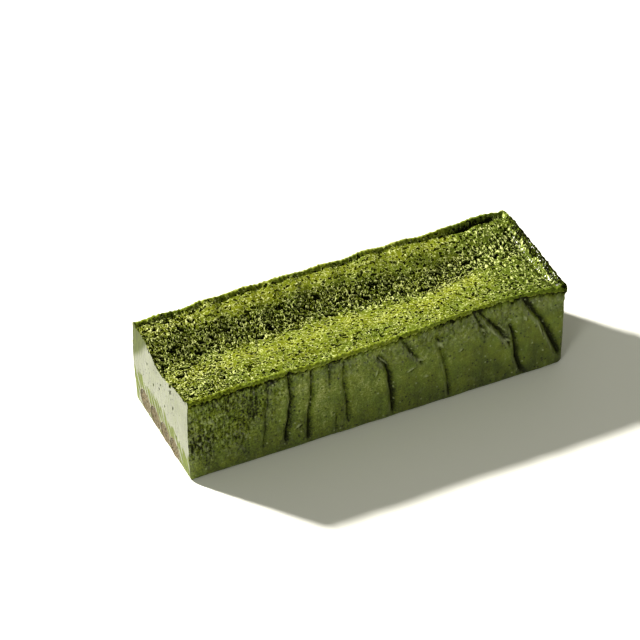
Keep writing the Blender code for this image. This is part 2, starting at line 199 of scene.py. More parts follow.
# A pore's raised rim, in the field's own measure, broken into curls, which takes a painted
# highlight
RIM_OFFSET = 0.14
RIM_WIDTH = 0.12
RIM_HEIGHT = 0.13
RIM_BREAK_REACH = 1.9
RIM_BREAK_RANGE = (-0.6, 0.4)
# Pits where pores fell in together, drawn out at a slant
PIT_REACH = 3.9
PIT_LENGTHEN = 1.8
PIT_HEADING = math.radians(-20)
PIT_LEVEL_FLAT = 1.2
PIT_LEVEL_OPEN = 0.52
PIT_RAGGED = 0.4
PIT_EDGE = 0.3
PIT_DEPTH = 1.5
# By the moulded end the foam is drawn out along the nearest edge, and wet blobs stand on it.
# Their crests, like the rims, take a painted highlight
RUN_RANGE = (42.0, 58.0)
RUN_FRONT = (-21.0, -12.0)
RUN_STRETCH = 0.4
WET_RANGE = (49.0, 62.0)
WET_CREST = 0.9
BLOB_RANGE = (0.5, 0.95)
BLOB_HEIGHT = 0.2
# The band before the valley line, where the key light falls fullest, is painted brighter and
# yellower: painted light. The wet part by the moulded end is darker and greener
YELLOW_OFFSET = 8.0
YELLOW_WIDTH = 6.5
# A narrower band of the same inside the back lip
YELLOW_BEHIND = 6.0
YELLOW_BEHIND_WIDTH = YELLOW_WIDTH / 2

# The lip: small lumps along it, and the groove inside the back lip near the moulded end, which
# takes painted shade. The lip is painted lighter, most of all on the back lip's outer edge:
# painted light
LIP_LUMP = 0.17
LIP_LUMP_REACH = 2.0
LIP_INNER_RAGGED = 0.5
LIP_GROOVE = 1.5
LIP_GROOVE_WIDTH = 1.0
LIP_GROOVE_PLACE = 2.9
LIP_GROOVE_RANGE = (50.0, 58.0, 71.0, 74.0)
GROOVE_SMOOTH = 0.85
BACK_LIP_HIGHLIGHT = 1.3
# The far rim: a rounder dark roll with a trough inside it, whose outer slope is wet and
# glossy, and the rough knob at its back corner
FAR_LIP_GROWTH = 0.7
FAR_LIP_SMOOTH = 0.7
ROLL_WIDTH = (2.2, 3.2)
ROLL_SHADE = 0.65
FAR_TROUGH = 1.35
FAR_TROUGH_PLACE = 4.4
FAR_TROUGH_WIDTH = 1.7
FAR_TROUGH_START = (0.5, 4.0)
FAR_TROUGH_END = (10.0, 22.0)
GLOSS_PLACE = 3.2
GLOSS_WIDTH = 1.7
GLOSS_RANGE = (-24.5, -21.0, -8.0, 18.0)
KNOB_RADIUS = 8.0
KNOB_DEPTH = 0.55
KNOB_REACH = 2.2
KNOB_CREST = 0.6
# The back lip's inner side takes painted shade, in scallops
SCALLOP_BAND = (0.9, 1.5, 2.2, 3.2)
SCALLOP_REACH = 8.0
SCALLOP_DEPTH = 0.35
SCALLOP_SHADE = 0.2
SCALLOP_END = (44.0, 52.0)
SCALLOP_WANDER = 0.4
SCALLOP_PATCHES = (-0.5, 0.4)
SCALLOP_LEAST = 0.3
# The crust hangs over the walls with a ragged lower edge, and the wall is drawn in below it.
# The hanging crust is painted lighter and yellower, painted light, and the wall just under its
# edge takes painted shade
CRUST_HANG = 0.3
CRUST_HANG_RAGGED = 0.45
CRUST_HANG_REACH = 3.0
CRUST_HANG_EDGE = (-0.25, 0.25)
CRUST_STAND = 0.14
CRUST_UNDERCUT = 0.3
CRUST_UNDERCUT_DROP = 2.4
CRUST_UNDERCUT_SPREAD = 1.2
UNDER_REACH = 2.6
UNDER_RAGGED = 0.55
UNDER_RAGGED_REACH = 4.0
UNDER_STRETCH = 0.3
UNDER_LEAST = 0.4

# Walls: above this line, as (X, Z), the shown side has a rough skin with pores
ROUGH_LINE = [(-79, 9), (-56, 12), (-46, 19), (-34, 27), (-10, 27), (8, 25), (22, 24), (34, 26),
              (44, 23), (53, 22), (60, 28), (70, 30), (79, 26)]
HIDDEN_ROUGH_LINE = [(-79, 25), (79, 27)]
ROUGH_LINE_WAVE = 1.3
ROUGH_LINE_REACH = 9.0
ROUGH_LINE_JAG = 0.45
ROUGH_LINE_JAG_REACH = 2.4
ROUGH_HEIGHT = 0.2
ROUGH_REACH = 2.3
ROUGH_STRETCH = 0.6
ROUGH_STEP = (-0.8, 3.5)
ROUGH_FADE = 14.0
# The ledge along the line takes a painted highlight, in patches
LEDGE_WIDTH = 0.35
LEDGE_REACH = 12.0
LEDGE_PATCHES = (-0.1, 0.5)
LEDGE_HIGHLIGHT = 0.28
# The rough skin is blotched darker near the cut, from one place to another along X, and less
# past it: partly the skin's own dark mottling and partly painted shade
BLOTCHED_SHADE_RANGE = (-54.0, -36.0)
BLOTCHED_SHADE_REST = 0.4
# Sharp slanting ridges where the paper crumpled the rough skin, each with a painted highlight
CRUMPLE_HEIGHT = 0.35
CRUMPLE_WIDTH = 0.28
CRUMPLE_REACH = 6.0
CRUMPLE_LEAN = 0.6
CRUMPLE_STRETCH = 0.2
CRUMPLE_PATCHES = (-0.2, 0.6)

# The cut end. Pits as (Y, Z, radius), the line below which the knife dragged, and the streaks
CUT_PITS = [(-9.5, 30.5, 0.75), (-12.0, 24.8, 0.55), (0.0, 27.1, 0.4), (1.1, 24.6, 0.35),
            (13.0, 27.5, 0.4), (-14.5, 13.0, 0.5), (-4.0, 20.0, 0.4), (7.0, 22.0, 0.4)]
CUT_PIT_DEPTH = 0.55
CUT_PIT_STRETCH = 1.5
CUT_PIT_FLOOR = 0.4
DRAG_LINE = [(-26, 11.0), (-12, 13.5), (-5, 15.2), (3, 16.2), (10.5, 16.6), (16.5, 16.0),
             (22, 17.4), (26, 19.0)]
DRAG_HEADING = math.radians(68)
DRAG_REACH = 2.3
DRAG_STRETCH = 0.22
DRAG_EDGE = (-0.6, 0.6)
DRAG_HEIGHT = 0.07
DRAG_LIFT = 0.6
DRAG_TONGUE = 1.5
DRAG_SHARE = (-0.7, -0.15)
SCRATCH_HEIGHT = 0.03
SCRATCH_REACH = 1.3
SCRATCH_LEAN = 0.25
SCRATCH_STRETCH = 0.08
# The corner of the cut that the knife left matt, as the line (Z, Y) under it, going up
MATT_LINE = [(19, 28), (23.0, 25.2), (27.6, 20.9), (36.8, 13.4), (40.0, 11.0)]
MATT_FADE = (-2.5, 3.0)

# Beans along the base of the cut end, from the back: the radius of each, how far its middle
# lies behind the cut, and how far it is lifted off the custard under it
BEAN_RADII = [4.5, 4.3, 4.2, 4.0]
BEAN_SET_IN = [0.5, 0.9, 0.3, 0.7]
BEAN_LIFT = [1.3, 0.8, 0.3, 0.1]
BEAN_FIRST_Y = 17.0
BEAN_FLOOR = 1.0
BEAN_FLATTEN = 0.97
BEAN_STRETCH = 1.12
# The gap round a bean in the solid, which spaces them, and the closer one of the pockets here
BEAN_GAP = 0.3
POCKET_GAP = 0.1
BEAN_WEB = 0.4
BEAN_RECESS = 0.15
# The bean's own detail: its skin's wrinkles, and the rim of its cut, the dish with a ridge along
# the split, the split and the lumps
BEAN_WRINKLE = 0.07
BEAN_WRINKLE_REACH = 1.6
BEAN_SKIN_RIM = 0.98
BEAN_DISH = 0.3
BEAN_RIDGE = 0.6
BEAN_RIDGE_WIDTH = 1.2
BEAN_SPLIT_WIDTH = 0.25
BEAN_SPLIT_DEPTH = 0.2
BEAN_LUMP = 0.1
BEAN_LUMP_REACH = 1.8
BEAN_AROUND = 96
BEAN_SHELL_RINGS = 34
BEAN_CUT_RINGS = 30
STAIN_REACH = 2.2

# Greens of the custard and browns of the beans. The deepest green is the painted shade of pores,
# hollows and folds, the crest tone a painted highlight, GLINT a painted glint, and PALE_EDGE the
# grey-green of the walls' painted highlights and faint painted sheen
TONE_DEEP = (0.004, 0.005, 0.0006, 1.0)
TONE_FRESH = (0.108, 0.15, 0.015, 1.0)
TONE_YELLOW = (0.162, 0.186, 0.009, 1.0)
TONE_CREST = (0.5, 0.53, 0.22, 1.0)
GLINT = (0.72, 0.74, 0.5, 1.0)
PALE_EDGE = (0.3, 0.34, 0.17, 1.0)
BEAN_SKIN = (0.05, 0.038, 0.022, 1.0)
BEAN_SKIN_BROWN = (0.08, 0.058, 0.032, 1.0)
BEAN_FLESH_DARK = (0.05, 0.039, 0.018, 1.0)
BEAN_FLESH_PALE = (0.11, 0.087, 0.042, 1.0)
BEAN_SPLIT = (0.05, 0.04, 0.02, 1.0)
BEAN_STAIN = (0.09, 0.078, 0.032, 1.0)

# Spacing of the fine grid
STEP = 0.22
EDGE_ROWS = [0.0, 0.1, 0.25, 0.45, 0.65]
LEVEL_ROWS = 80
BASE_LEVELS = [0.0, 0.006, 0.014, 0.026]
TOP_LEVELS = [0.955, 0.965, 0.975, 0.985, 0.993, 1.0]
# How each piece is closed inside the loaf: rings of (inset, depth under the top) and a middle,
# with hardly any inset where the loaf's two halves meet
BODY_RINGS = [(2.5, 1.4), (8.0, 4.0)]
BODY_HEART = 26.0
CRUST_RINGS = [(3.2, 2.2), (8.5, 5.0)]
CRUST_HEART = 25.0
MEETING_INSET = 0.3
SHARP_ANGLE = math.radians(50)
# Names of the masks that the crust, the walls and the cut end carry
CRUST_MARKS = ["hollow", "crest", "lip", "wet", "lit_band_dark_end", "open"]
WALL_MARKS = ["fold", "pale", "rough", "hang", "under"]
CUT_MARKS = ["pit", "dragged", "matt", "by_bean"]

# Camera: where it stands and looks, its roll, and its field of view, for a picture 640 wide
CAMERA_PLACE = (-405.2, -807.4, 737.3)
CAMERA_AIM = (0.34380, 0.70821, -0.61664)
CAMERA_ROLL = math.radians(0.32)
CAMERA_LENS = 170.0
SENSOR_WIDTH = 36.0

# Light: a low key from behind on the left, a weak soft fill from the front left, a pale
# surround, and the pale floor
FILL_FROM = (-0.7, -0.55, 0.35)
FILL_STRENGTH = 0.85
FILL_SOFTNESS = math.radians(14)
FILL_COLOUR = (0.97, 1.0, 0.86)
KEY_FROM = (-0.5, 0.69, 0.53)
KEY_STRENGTH = 11.0
KEY_SOFTNESS = math.radians(5)
KEY_COLOUR = (1.0, 0.965, 0.86)
SURROUND_COLOUR = (1.0, 0.99, 0.8)
SURROUND_STRENGTH = 0.29
FLOOR_SIDE = 4.0
FLOOR_COLOUR = (0.86, 0.86, 0.85, 1.0)


def curve(knots, place):
    """A smooth curve through (place, value) knots, level at its first and last knot.

    Between two knots it is a cubic with the slope, at each knot, of the chord across it.
    """
    places, values = np.array(knots, float).T
    slopes = np.zeros(len(places))
    slopes[1:-1] = (values[2:] - values[:-2]) / (places[2:] - places[:-2])
    first = np.clip(np.searchsorted(places, place) - 1, 0, len(places) - 2)
    span = places[first + 1] - places[first]
    t = np.clip((place - places[first]) / span, 0.0, 1.0)
    start = values[first] * (1 + 2 * t) + slopes[first] * span * t
    end = values[first + 1] * (3 - 2 * t) - slopes[first + 1] * span * (1 - t)
    return start * (1 - t) ** 2 + end * t ** 2


def ease(low, high, value):
    """0 below low, 1 above high, and a smooth S between them."""
    t = np.clip((value - low) / (high - low), 0.0, 1.0)
    return t * t * (3 - 2 * t)


def bell(value, middle, width):
    """1 at the middle, falling off smoothly on both sides over about the width."""
    return np.exp(-((value - middle) / width) ** 2)


def band_share(band, value):
    """1 between a band's two middle places, easing to 0 at its first and its last."""
    start, full, last, end = band
    return ease(start, full, value) * (1 - ease(last, end, value))


def swell(a, b, reach, seed, waves=14):
    """A soft uneven swell of about -1 to 1: sine waves of about one length, strewn in heading."""
    rng = np.random.default_rng(seed)
    total = np.zeros(np.shape(a))
    for _ in range(waves):
        heading, phase = rng.uniform(0, 2 * math.pi, 2)
        turns = 2 * math.pi / (reach * rng.uniform(*SWELL_LENGTHS))
        total = total + np.sin(turns * (a * math.cos(heading) + b * math.sin(heading)) + phase)
    return total / math.sqrt(waves) * SWELL_SCALE


def rim_height(x, y):
    """Height of the rim, blended evenly from the front rim to the bumpy back rim."""
    across = (y + HALF_WIDTH) / WIDTH
    bumps = BACK_RIM_BUMP * np.cos(2 * math.pi * x / BACK_RIM_BUMP_REACH)
    return (1 - across) * curve(FRONT_RIM, x) + across * (curve(BACK_RIM, x) + bumps)


def back_slope_share(x, y):
    """1 on the steep slope behind the valley line, 0 elsewhere."""
    behind = y - curve(VALLEY_LINE, x) + STEEP_SPREAD * ease(*STEEP_SPREAD_RANGE, x)
    return band_share(STEEP_BAND, behind)


def bowl_depth(x, y):
    """Depth of the sunken top below its edges: the valley's depth times each side's slope."""
    valley = curve(VALLEY_LINE, x)
    front = curve(FRONT_SLOPE, (y + HALF_WIDTH) / (valley + HALF_WIDTH))
    back = curve(BACK_SLOPE, (HALF_WIDTH - y) / (HALF_WIDTH - valley))
    return curve(VALLEY_DEPTH, x) * np.where(y < valley, front, back)


def edge_distance(x, y):
    """Distance to the nearest moulded edge: the front, the back or the far end."""
    return np.minimum(np.minimum(y + HALF_WIDTH, HALF_WIDTH - y), HALF_LENGTH - x)


def foam(x, y):
    """The foam's field, about -1 to 1 and low in its pores.

    It is a blend of three even fields: a plain one, one drawn out along Y, which takes over
    by the moulded end, and one drawn out along X, which does so by the shown side there.
    """
    far = ease(*RUN_RANGE, x)
    front = 1 - ease(*RUN_FRONT, y)
    shares = [1 - far, far * (1 - front), far * front]
    places = [(x, y), (x, RUN_STRETCH * y), (RUN_STRETCH * x, y)]
    fields = [swell(*place, FOAM_REACH, seed, FOAM_WAVES)
              for place, seed in zip(places, (31, 32, 33))]
    total = sum(share * field for share, field in zip(shares, fields))
    return total / np.sqrt(sum(share ** 2 for share in shares))


def blend_by(share, flat, opened):
    """A value between the flat parts' own, at share 0, and the open parts' own, at share 1."""
    return flat + (opened - flat) * share


def open_share(x, y):
    """1 where the foam is most open: on the steep slope, and less so by the cut."""
    return np.maximum(back_slope_share(x, y), NEAR_CUT_SHARE * (1 - ease(*NEAR_CUT_RANGE, x)))


def crumb(x, y):
    """Relief of the open crumb, and how hollow it is and how much of a crest, each 0 to 1. The
    material paints shade into the hollows and a highlight onto the crests.

    Low swells carry the foam. A point is sunk by how far the foam's field is below the pores'
    level there, or by how far a drawn-out swell is above the pits' level, and a rim stands
    just outside. By the moulded end blobs stand where the field is high.
    """
    opened = open_share(x, y)
    field = foam(x, y)
    wet = ease(*WET_RANGE, x)
    pore = -field - blend_by(opened, PORE_LEVEL_FLAT, PORE_LEVEL_OPEN)
    pore = pore - PORE_LEVEL_WET * wet * opened
    along = x * math.cos(PIT_HEADING) + y * math.sin(PIT_HEADING)
    aside = y * math.cos(PIT_HEADING) - x * math.sin(PIT_HEADING)
    pit = swell(along / PIT_LENGTHEN, aside, PIT_REACH, seed=12) - PIT_RAGGED * field
    pit = pit - blend_by(opened, PIT_LEVEL_FLAT, PIT_LEVEL_OPEN)
    sunk = np.maximum(pore, pit)
    broken = ease(*RIM_BREAK_RANGE, swell(x, y, RIM_BREAK_REACH, seed=34))
    rim = bell(sunk, -RIM_OFFSET, RIM_WIDTH) * (0.5 + 0.5 * broken)
    blob = wet * ease(*BLOB_RANGE, field)

    lumps = SWELL_HEIGHT * swell(x, y, SWELL_REACH, seed=3)
    lumps = lumps + CRUMB_HEIGHT * swell(x, y, CRUMB_REACH, seed=5)
    depth = blend_by(opened, PORE_DEPTH_FLAT, PORE_DEPTH_OPEN) * ease(0.0, PORE_EDGE, pore)
    depth = np.maximum(depth, PIT_DEPTH * ease(0.0, PIT_EDGE, pit))
    inside = ease(LIP_CREST, LIP_CREST + LIP_FALL, edge_distance(x, y))
    relief = lumps - depth + RIM_HEIGHT * rim + BLOB_HEIGHT * blob
    crest = np.maximum(rim, blob) * blend_by(wet, 1.0, WET_CREST)
    return relief * inside, ease(0.0, PORE_EDGE, sunk) * inside, crest * inside


def lip_groove(x, y):
    """Depth of the groove inside the back lip, where the crumb sank away from it."""
    inside = bell(HALF_WIDTH - y, LIP_GROOVE_PLACE, LIP_GROOVE_WIDTH)
    return band_share(LIP_GROOVE_RANGE, x) * inside


def far_trough(x, y):
    """1 along the trough inside the far rim's smooth roll, fading out before the back corner."""
    inside = bell(HALF_LENGTH - x, FAR_TROUGH_PLACE, FAR_TROUGH_WIDTH)
    return inside * (1 - ease(*FAR_TROUGH_END, y)) * ease(*FAR_TROUGH_START, y + HALF_WIDTH)


def knob(x, y):
    """1 on the rough knob at the far back corner, 0 away from it."""
    return 1 - ease(KNOB_RADIUS * 0.4, KNOB_RADIUS, np.hypot(x - HALF_LENGTH, y - HALF_WIDTH))


def far_gloss(x, y):
    """1 on the wet outer slope of the trough, along the shown half of the far rim."""
    return band_share(GLOSS_RANGE, y) * bell(HALF_LENGTH - x, GLOSS_PLACE, GLOSS_WIDTH)


def lip_rise(x, y):
    """How much higher the lip stands than the solid's, along the back and the far end."""
    back = curve(BACK_RISE, x) * (1 - ease(*BACK_RISE_REACH, HALF_WIDTH - y))
    far = curve(FAR_RISE, y) * (1 - ease(*FAR_RISE_REACH, HALF_LENGTH - x))
    return np.maximum(back, far)


def top_height(x, y):
    """Height of the top: the rim less its lip's fall, the sunken bowl and the round edge."""
    edge = edge_distance(x, y)
    across = (y + HALF_WIDTH) / WIDTH
    scallop = 1 + SCALLOP_DEPTH * swell(x, 0 * y, SCALLOP_REACH, seed=45)
    lip = (1 - across) * FRONT_LIP + across * scallop * curve(BACK_LIP, x)
    inside = ease(LIP_CREST, LIP_CREST + LIP_FALL, edge)
    radius = LIP_RADIUS + FAR_LIP_GROWTH * ease(HALF_LENGTH - END_FADE, HALF_LENGTH, x)
    short = np.clip(radius - edge, 0.0, radius)
    rounding = radius - np.sqrt(radius ** 2 - short ** 2)
    relief, _, _ = crumb(x, y)
    lumps = LIP_LUMP * swell(x, y, LIP_LUMP_REACH, seed=41) * (1 - inside)
    lumps = lumps * (1 - FAR_LIP_SMOOTH * ease(HALF_LENGTH - 5, HALF_LENGTH - 2, x))
    sunk = LIP_GROOVE * lip_groove(x, y) + FAR_TROUGH * far_trough(x, y)
    sunk = sunk + KNOB_DEPTH * knob(x, y) * (0.6 + 0.5 * swell(x, y, KNOB_REACH, seed=43))
    height = rim_height(x, y) + lip_rise(x, y) - lip * inside - bowl_depth(x, y) - rounding
    return height + relief * (1 - GROOVE_SMOOTH * lip_groove(x, y)) + lumps - sunk


def crease_relief(along, z, creases):
    """Depth of the paper's creases, and masks of the painted shade of their folds and of the
    painted highlight on their edges.

    Each is a groove with a low bead on its left and a narrow fold in its middle, fading at
    its ends, along a line that wanders a little. It has painted shade to its right and, in
    patches, a painted highlight on its bead.
    """
    depth, folds, edges = (np.zeros(np.shape(along)) for _ in range(3))
    wander = FOLD_WANDER * swell(along, z, FOLD_WANDER_REACH, seed=51)
    for line, groove, half_width in creases:
        upward = np.array(line[::-1], float)
        foot, head = upward[0, 1], upward[-1, 1]
        offset = (along + wander - np.interp(z, upward[:, 1], upward[:, 0])) / half_width
        reach = ease(foot - CREASE_END_FADE, foot, z) * (1 - ease(head, head + CREASE_END_FADE, z))
        bead = CREASE_BEAD * bell(offset, -CREASE_BEAD_OFFSET, 1.0)
        fold = bell(offset, 0.0, FOLD_WIDTH)
        depth = depth + groove * reach * (bell(offset, 0.0, 1.0) - bead + FOLD_DEPTH * fold)
        dark = FOLD_SHADE * bell(offset, FOLD_SHADE_OFFSET, FOLD_SHADE_WIDTH)
        dark = dark + (1 - FOLD_SHADE) * fold
        folds = np.maximum(folds, groove * reach * dark)
        edges = np.maximum(edges, groove * reach * bell(offset, -EDGE_OFFSET, EDGE_WIDTH))
    patches = ease(*EDGE_PATCHES, swell(along, z, EDGE_REACH, seed=52))
    clear = ease(*CREASE_CLEAR_OF_BASE, z)
    return depth * clear, np.clip(folds, 0, 1) * clear, np.clip(edges, 0, 1) * patches * clear


def hidden_creases(length, seed):
    """Creases by rule: about one to each step, leaning and ending at seeded heights."""
    rng = np.random.default_rng(seed)
    creases = []
    for number in range(int(length / HIDDEN_CREASE_STEP)):
        foot = (number + rng.uniform(0.25, 0.75)) * HIDDEN_CREASE_STEP - length / 2
        head = foot + rng.uniform(-HIDDEN_CREASE_LEAN, HIDDEN_CREASE_LEAN)
        low, high = rng.uniform(*HIDDEN_CREASE_FOOT), rng.uniform(*HIDDEN_CREASE_HEAD)
        depth = rng.uniform(*HIDDEN_CREASE_DEPTH)
        creases.append(([(head, high), (foot, low)], depth, HIDDEN_CREASE_WIDTH))
    return creases


BACK_CREASES = hidden_creases(LENGTH, seed=21)
END_CREASES = hidden_creases(WIDTH - 2 * CORNER_RADIUS, seed=22)


def wall_skin(along, z, rough_line, seed):
    """Relief of a wall's skin, how rough it is, and where the ledge under its rough part and the
    crumpled ridges take a painted highlight.

    It is smooth below the line and recessed, wrinkled and crumpled above it. How rough it
    looks runs from 0 to 1 across ROUGH_FADE, with the line in the middle. The crumpled ridges
    lie where a slanting swell is near its middle.
    """
    line = curve(rough_line, along) + ROUGH_LINE_WAVE * swell(along, 0 * z, ROUGH_LINE_REACH, seed)
    line = line + ROUGH_LINE_JAG * swell(along, 0 * z, ROUGH_LINE_JAG_REACH, seed + 7)
    above = ease(*ROUGH_STEP, z - line)
    wrinkles = swell(along, ROUGH_STRETCH * z, ROUGH_REACH, seed + 2) - 1
    slant = swell(along + CRUMPLE_LEAN * z, CRUMPLE_STRETCH * z, CRUMPLE_REACH, seed + 5)
    ridges = above * np.clip(1 - np.abs(slant) / CRUMPLE_WIDTH, 0.0, 1.0)
    ridges = ridges * ease(*CRUMPLE_PATCHES, swell(along, z, LEDGE_REACH / 2, seed + 6))
    rough = np.clip(0.5 + (z - line) / ROUGH_FADE, 0.0, 1.0)
    patches = ease(*LEDGE_PATCHES, swell(along, 0 * z, LEDGE_REACH, seed + 3))
    ledge = bell(z, line, LEDGE_WIDTH) * patches
    relief = ROUGH_HEIGHT * above * wrinkles + CRUMPLE_HEIGHT * ridges
    return relief, rough, np.maximum(ledge, ridges)


def facet_share(along, z, facets):
    """1 in the middle of each facet, falling evenly to 0 at its pointed ends and its sides."""
    share = np.zeros(np.shape(along))
    for middle_x, middle_z, half_length, half_width, degrees in facets:
        heading = math.radians(degrees)
        out, up = along - middle_x, z - middle_z
        length = np.abs(out * math.cos(heading) + up * math.sin(heading)) / half_length
        side = np.abs(up * math.cos(heading) - out * math.sin(heading)) / half_width
        inside = FACET_STEEPNESS * (FACET_EXTENT - length - side)
        share = np.maximum(share, np.clip(inside, 0.0, 1.0))
    return share


def wall_relief(along, z, creases, rough_line, seed, facets=()):
    """Relief of a wall, and its marks: painted shade, painted highlights and how rough it is."""
    depth, folds, edges = crease_relief(along, z, creases)
    skin, rough, ledge = wall_skin(along, z, rough_line, seed)
    share = facet_share(along, z, facets)
    # Painted shadow beside each facet, and painted highlights on the beads, ledges, ridges and
    # facets
    shadow = facet_share(along - FACET_SHADOW, z + FACET_SHADOW, facets)
    folds = np.maximum(folds, FACET_SHADE * np.clip(shadow - share, 0, 1))
    pale = np.maximum(np.maximum(BEAD_HIGHLIGHT * edges, LEDGE_HIGHLIGHT * ledge), FACET_HIGHLIGHT * share)
    return skin - depth + FACET_HEIGHT * share, [folds, pale, rough]


def crust_hang(along, below, seed):
    """1 where the crust hangs over a wall, and 1 in the painted shade just under its ragged edge.

    below is measured down from the rim.
    """
    ragged = CRUST_HANG + CRUST_HANG_RAGGED * swell(along, below, CRUST_HANG_REACH, seed)
    ragged = ragged + 0.5 * CRUST_HANG_RAGGED * swell(along, below, CRUST_HANG_REACH / 3, seed + 1)
    hang = 1 - ease(*CRUST_HANG_EDGE, below - ragged)
    reach = 1 + UNDER_RAGGED * swell(along, UNDER_STRETCH * below, UNDER_RAGGED_REACH, seed + 2)
    reach = np.maximum(UNDER_REACH * reach, UNDER_LEAST)
    return hang, (1 - hang) * (1 - ease(0.0, 1.0, (below - ragged) / reach))


def crust_overhang(hang, below):
    """How far a wall stands out under its rim: the hanging crust, and the wall drawn in below."""
    drawn_in = CRUST_UNDERCUT * bell(below, CRUST_UNDERCUT_DROP, CRUST_UNDERCUT_SPREAD)
    return CRUST_STAND * hang - drawn_in * (1 - hang)


def base_inset(z):
    """How far the round base edge draws a wall in at height z."""
    short = np.clip(BASE_RADIUS - z, 0.0, BASE_RADIUS)
    return BASE_RADIUS - np.sqrt(np.maximum(BASE_RADIUS ** 2 - short ** 2, 0.0))


def side_offset(x, y, z, below):
    """How far a long wall stands out from its plane, and its marks."""
    front, front_marks = wall_relief(x, z, FRONT_CREASES, ROUGH_LINE, 61, FACETS)
    back, back_marks = wall_relief(x, z, BACK_CREASES, HIDDEN_ROUGH_LINE, seed=71)
    hang, under = crust_hang(x, below, seed=64)
    bulge = bell(x, -HALF_LENGTH, BACK_BULGE_REACH)
    bulge = bulge * bell(z, BACK_BULGE_PLACE, BACK_BULGE_SPREAD)
    front = front - curve(FRONT_PULL, x) * (z / HEIGHT) ** FRONT_PULL_POWER
    back = back + BACK_BULGE * bulge + BACK_LIP_OUT * (1 - ease(*OUT_REACH, below))
    uneven = WALL_SWELL_HEIGHT * swell(x, z, WALL_SWELL_REACH, seed=8) + crust_overhang(hang, below)
    ahead = y < 0
    marks = [np.where(ahead, f, b) for f, b in zip(front_marks, back_marks)]
    marks[-1] = marks[-1] * blend_by(ease(*BLOTCHED_SHADE_RANGE, x), 1.0, BLOTCHED_SHADE_REST)
    return np.where(ahead, front, back) - base_inset(z) + uneven, marks + [hang, under]


def far_end_offset(y, z, below):
    """How far the moulded end stands out: hollow, creased, with an ear at its front corner."""
    across = np.cos(math.pi * (y - END_HOLLOW_PLACE) / WIDTH).clip(0, 1)
    hollow = END_HOLLOW * across * z / HEIGHT
    ear = CORNER_EAR * bell(y, CORNER_EAR_PLACE, CORNER_EAR_WIDTH)
    ear = ear * bell(z, CORNER_EAR_HEIGHT, CORNER_EAR_SPREAD)
    relief, marks = wall_relief(y, z, END_CREASES, HIDDEN_ROUGH_LINE, seed=81)
    marks[-1] = BLOTCHED_SHADE_REST * marks[-1]
    hang, under = crust_hang(y, below, seed=84)
    out = relief + ear - hollow - base_inset(z) + crust_overhang(hang, below)
    out = out + curve(FAR_LIP_OUT, y) * (1 - ease(*OUT_REACH, below))
    return out, marks + [hang, under]


def bean_places():
    """Radius, middle and cut face of each bean: side by side from the back along the cut."""
    beans = []
    y = BEAN_FIRST_Y
    for index, radius in enumerate(BEAN_RADII):
        if index:
            y -= BEAN_RADII[index - 1] + radius + 2 * BEAN_GAP + BEAN_WEB
        z = BEAN_FLOOR + BEAN_LIFT[index] + radius * BEAN_FLATTEN
        face = -HALF_LENGTH + float(plain_cut(y, z))
        beans.append((radius, (face + BEAN_SET_IN[index], y, z), face))
    return beans


def plain_cut(y, z):
    """Where the cut lies, towards +X: askew, bulging at mid height, set back at the base."""
    setback = CUT_SETBACK * np.clip(1 - z / CUT_SETBACK_HEIGHT, 0.0, 1.0) ** 2
    return CUT_SKEW * y + setback - CUT_BULGE * np.sin(math.pi * np.clip(z / HEIGHT, 0, 1))


def bean_pockets(y, z):
    """Depth of the pockets that the beans sit in, and how near a point is to a bean, 0 to 1.

    A pocket is the bean's own turned egg, hardly wider, as a depth behind the cut.
    """
    depth = np.zeros(np.shape(y))
    near = np.zeros(np.shape(y))
    for index, (radius, centre, _) in enumerate(bean_places()):
        away = np.hypot(y - centre[1], (z - centre[2]) / BEAN_FLATTEN)
        room = radius + POCKET_GAP
        egg = np.sqrt(np.clip(room ** 2 - away ** 2, 0, None))
        behind = BEAN_SET_IN[index] + BEAN_STRETCH * egg
        depth = np.where(away < room, np.maximum(depth, behind), depth)
        near = np.maximum(near, 1 - ease(room, room + STAIN_REACH, away))
    return depth, near


def cut_end_offset(y, z):
    """The cut end's place towards +X, with pits, streaks and pockets, and its marks.

    The knife dragged streaks below DRAG_LINE, at a slant, and left fine upright scratches
    above it. Its marks are the pits, the dragged part, the matt corner and the bean's stain.
    """
    slant = z * math.cos(DRAG_HEADING) - y * math.sin(DRAG_HEADING)
    along = y * math.cos(DRAG_HEADING) + z * math.sin(DRAG_HEADING)
    tongues, streaks = (swell(slant, along * DRAG_STRETCH, DRAG_REACH, seed) for seed in (91, 92))
    edge = curve(DRAG_LINE, y) + DRAG_TONGUE * tongues
    dragged = 1 - ease(*DRAG_EDGE, z - edge)
    pits = np.zeros(np.shape(y))
    for pit_y, pit_z, radius in CUT_PITS:
        away = np.hypot(y - pit_y, (z - pit_z) / CUT_PIT_STRETCH)
        pits = np.maximum(pits, 1 - ease(radius * CUT_PIT_FLOOR, radius, away))
    scratches = swell(y + SCRATCH_LEAN * z, z * SCRATCH_STRETCH, SCRATCH_REACH, seed=94)
    pocket, near_bean = bean_pockets(y, z)
    relief = CUT_PIT_DEPTH * pits + SCRATCH_HEIGHT * scratches
    relief = relief + DRAG_HEIGHT * dragged * (streaks + DRAG_LIFT)
    dragged = dragged * ease(*DRAG_SHARE, streaks)
    matt = 1 - ease(*MATT_FADE, np.interp(z, *np.transpose(MATT_LINE)) - y)
    marks = [pits, dragged, matt, near_bean]
    return plain_cut(y, z) + np.maximum(relief, 0) * (pocket == 0) + pocket, marks


def round_corners(x, y):
    """Turns the square far corners into round ones: a square of the radius becomes a disc."""
    inner_x, inner_y = HALF_LENGTH - CORNER_RADIUS, HALF_WIDTH - CORNER_RADIUS
    out_x = np.clip(x - inner_x, 0.0, None) / CORNER_RADIUS
    out_y = np.clip(np.abs(y) - inner_y, 0.0, None) / CORNER_RADIUS
    new_x = np.where(out_x > 0, inner_x + CORNER_RADIUS * out_x * np.sqrt(1 - out_y ** 2 / 2), x)
    new_y = inner_y + CORNER_RADIUS * out_y * np.sqrt(1 - out_x ** 2 / 2)
    return new_x, np.where(out_y > 0, np.sign(y) * new_y, y)


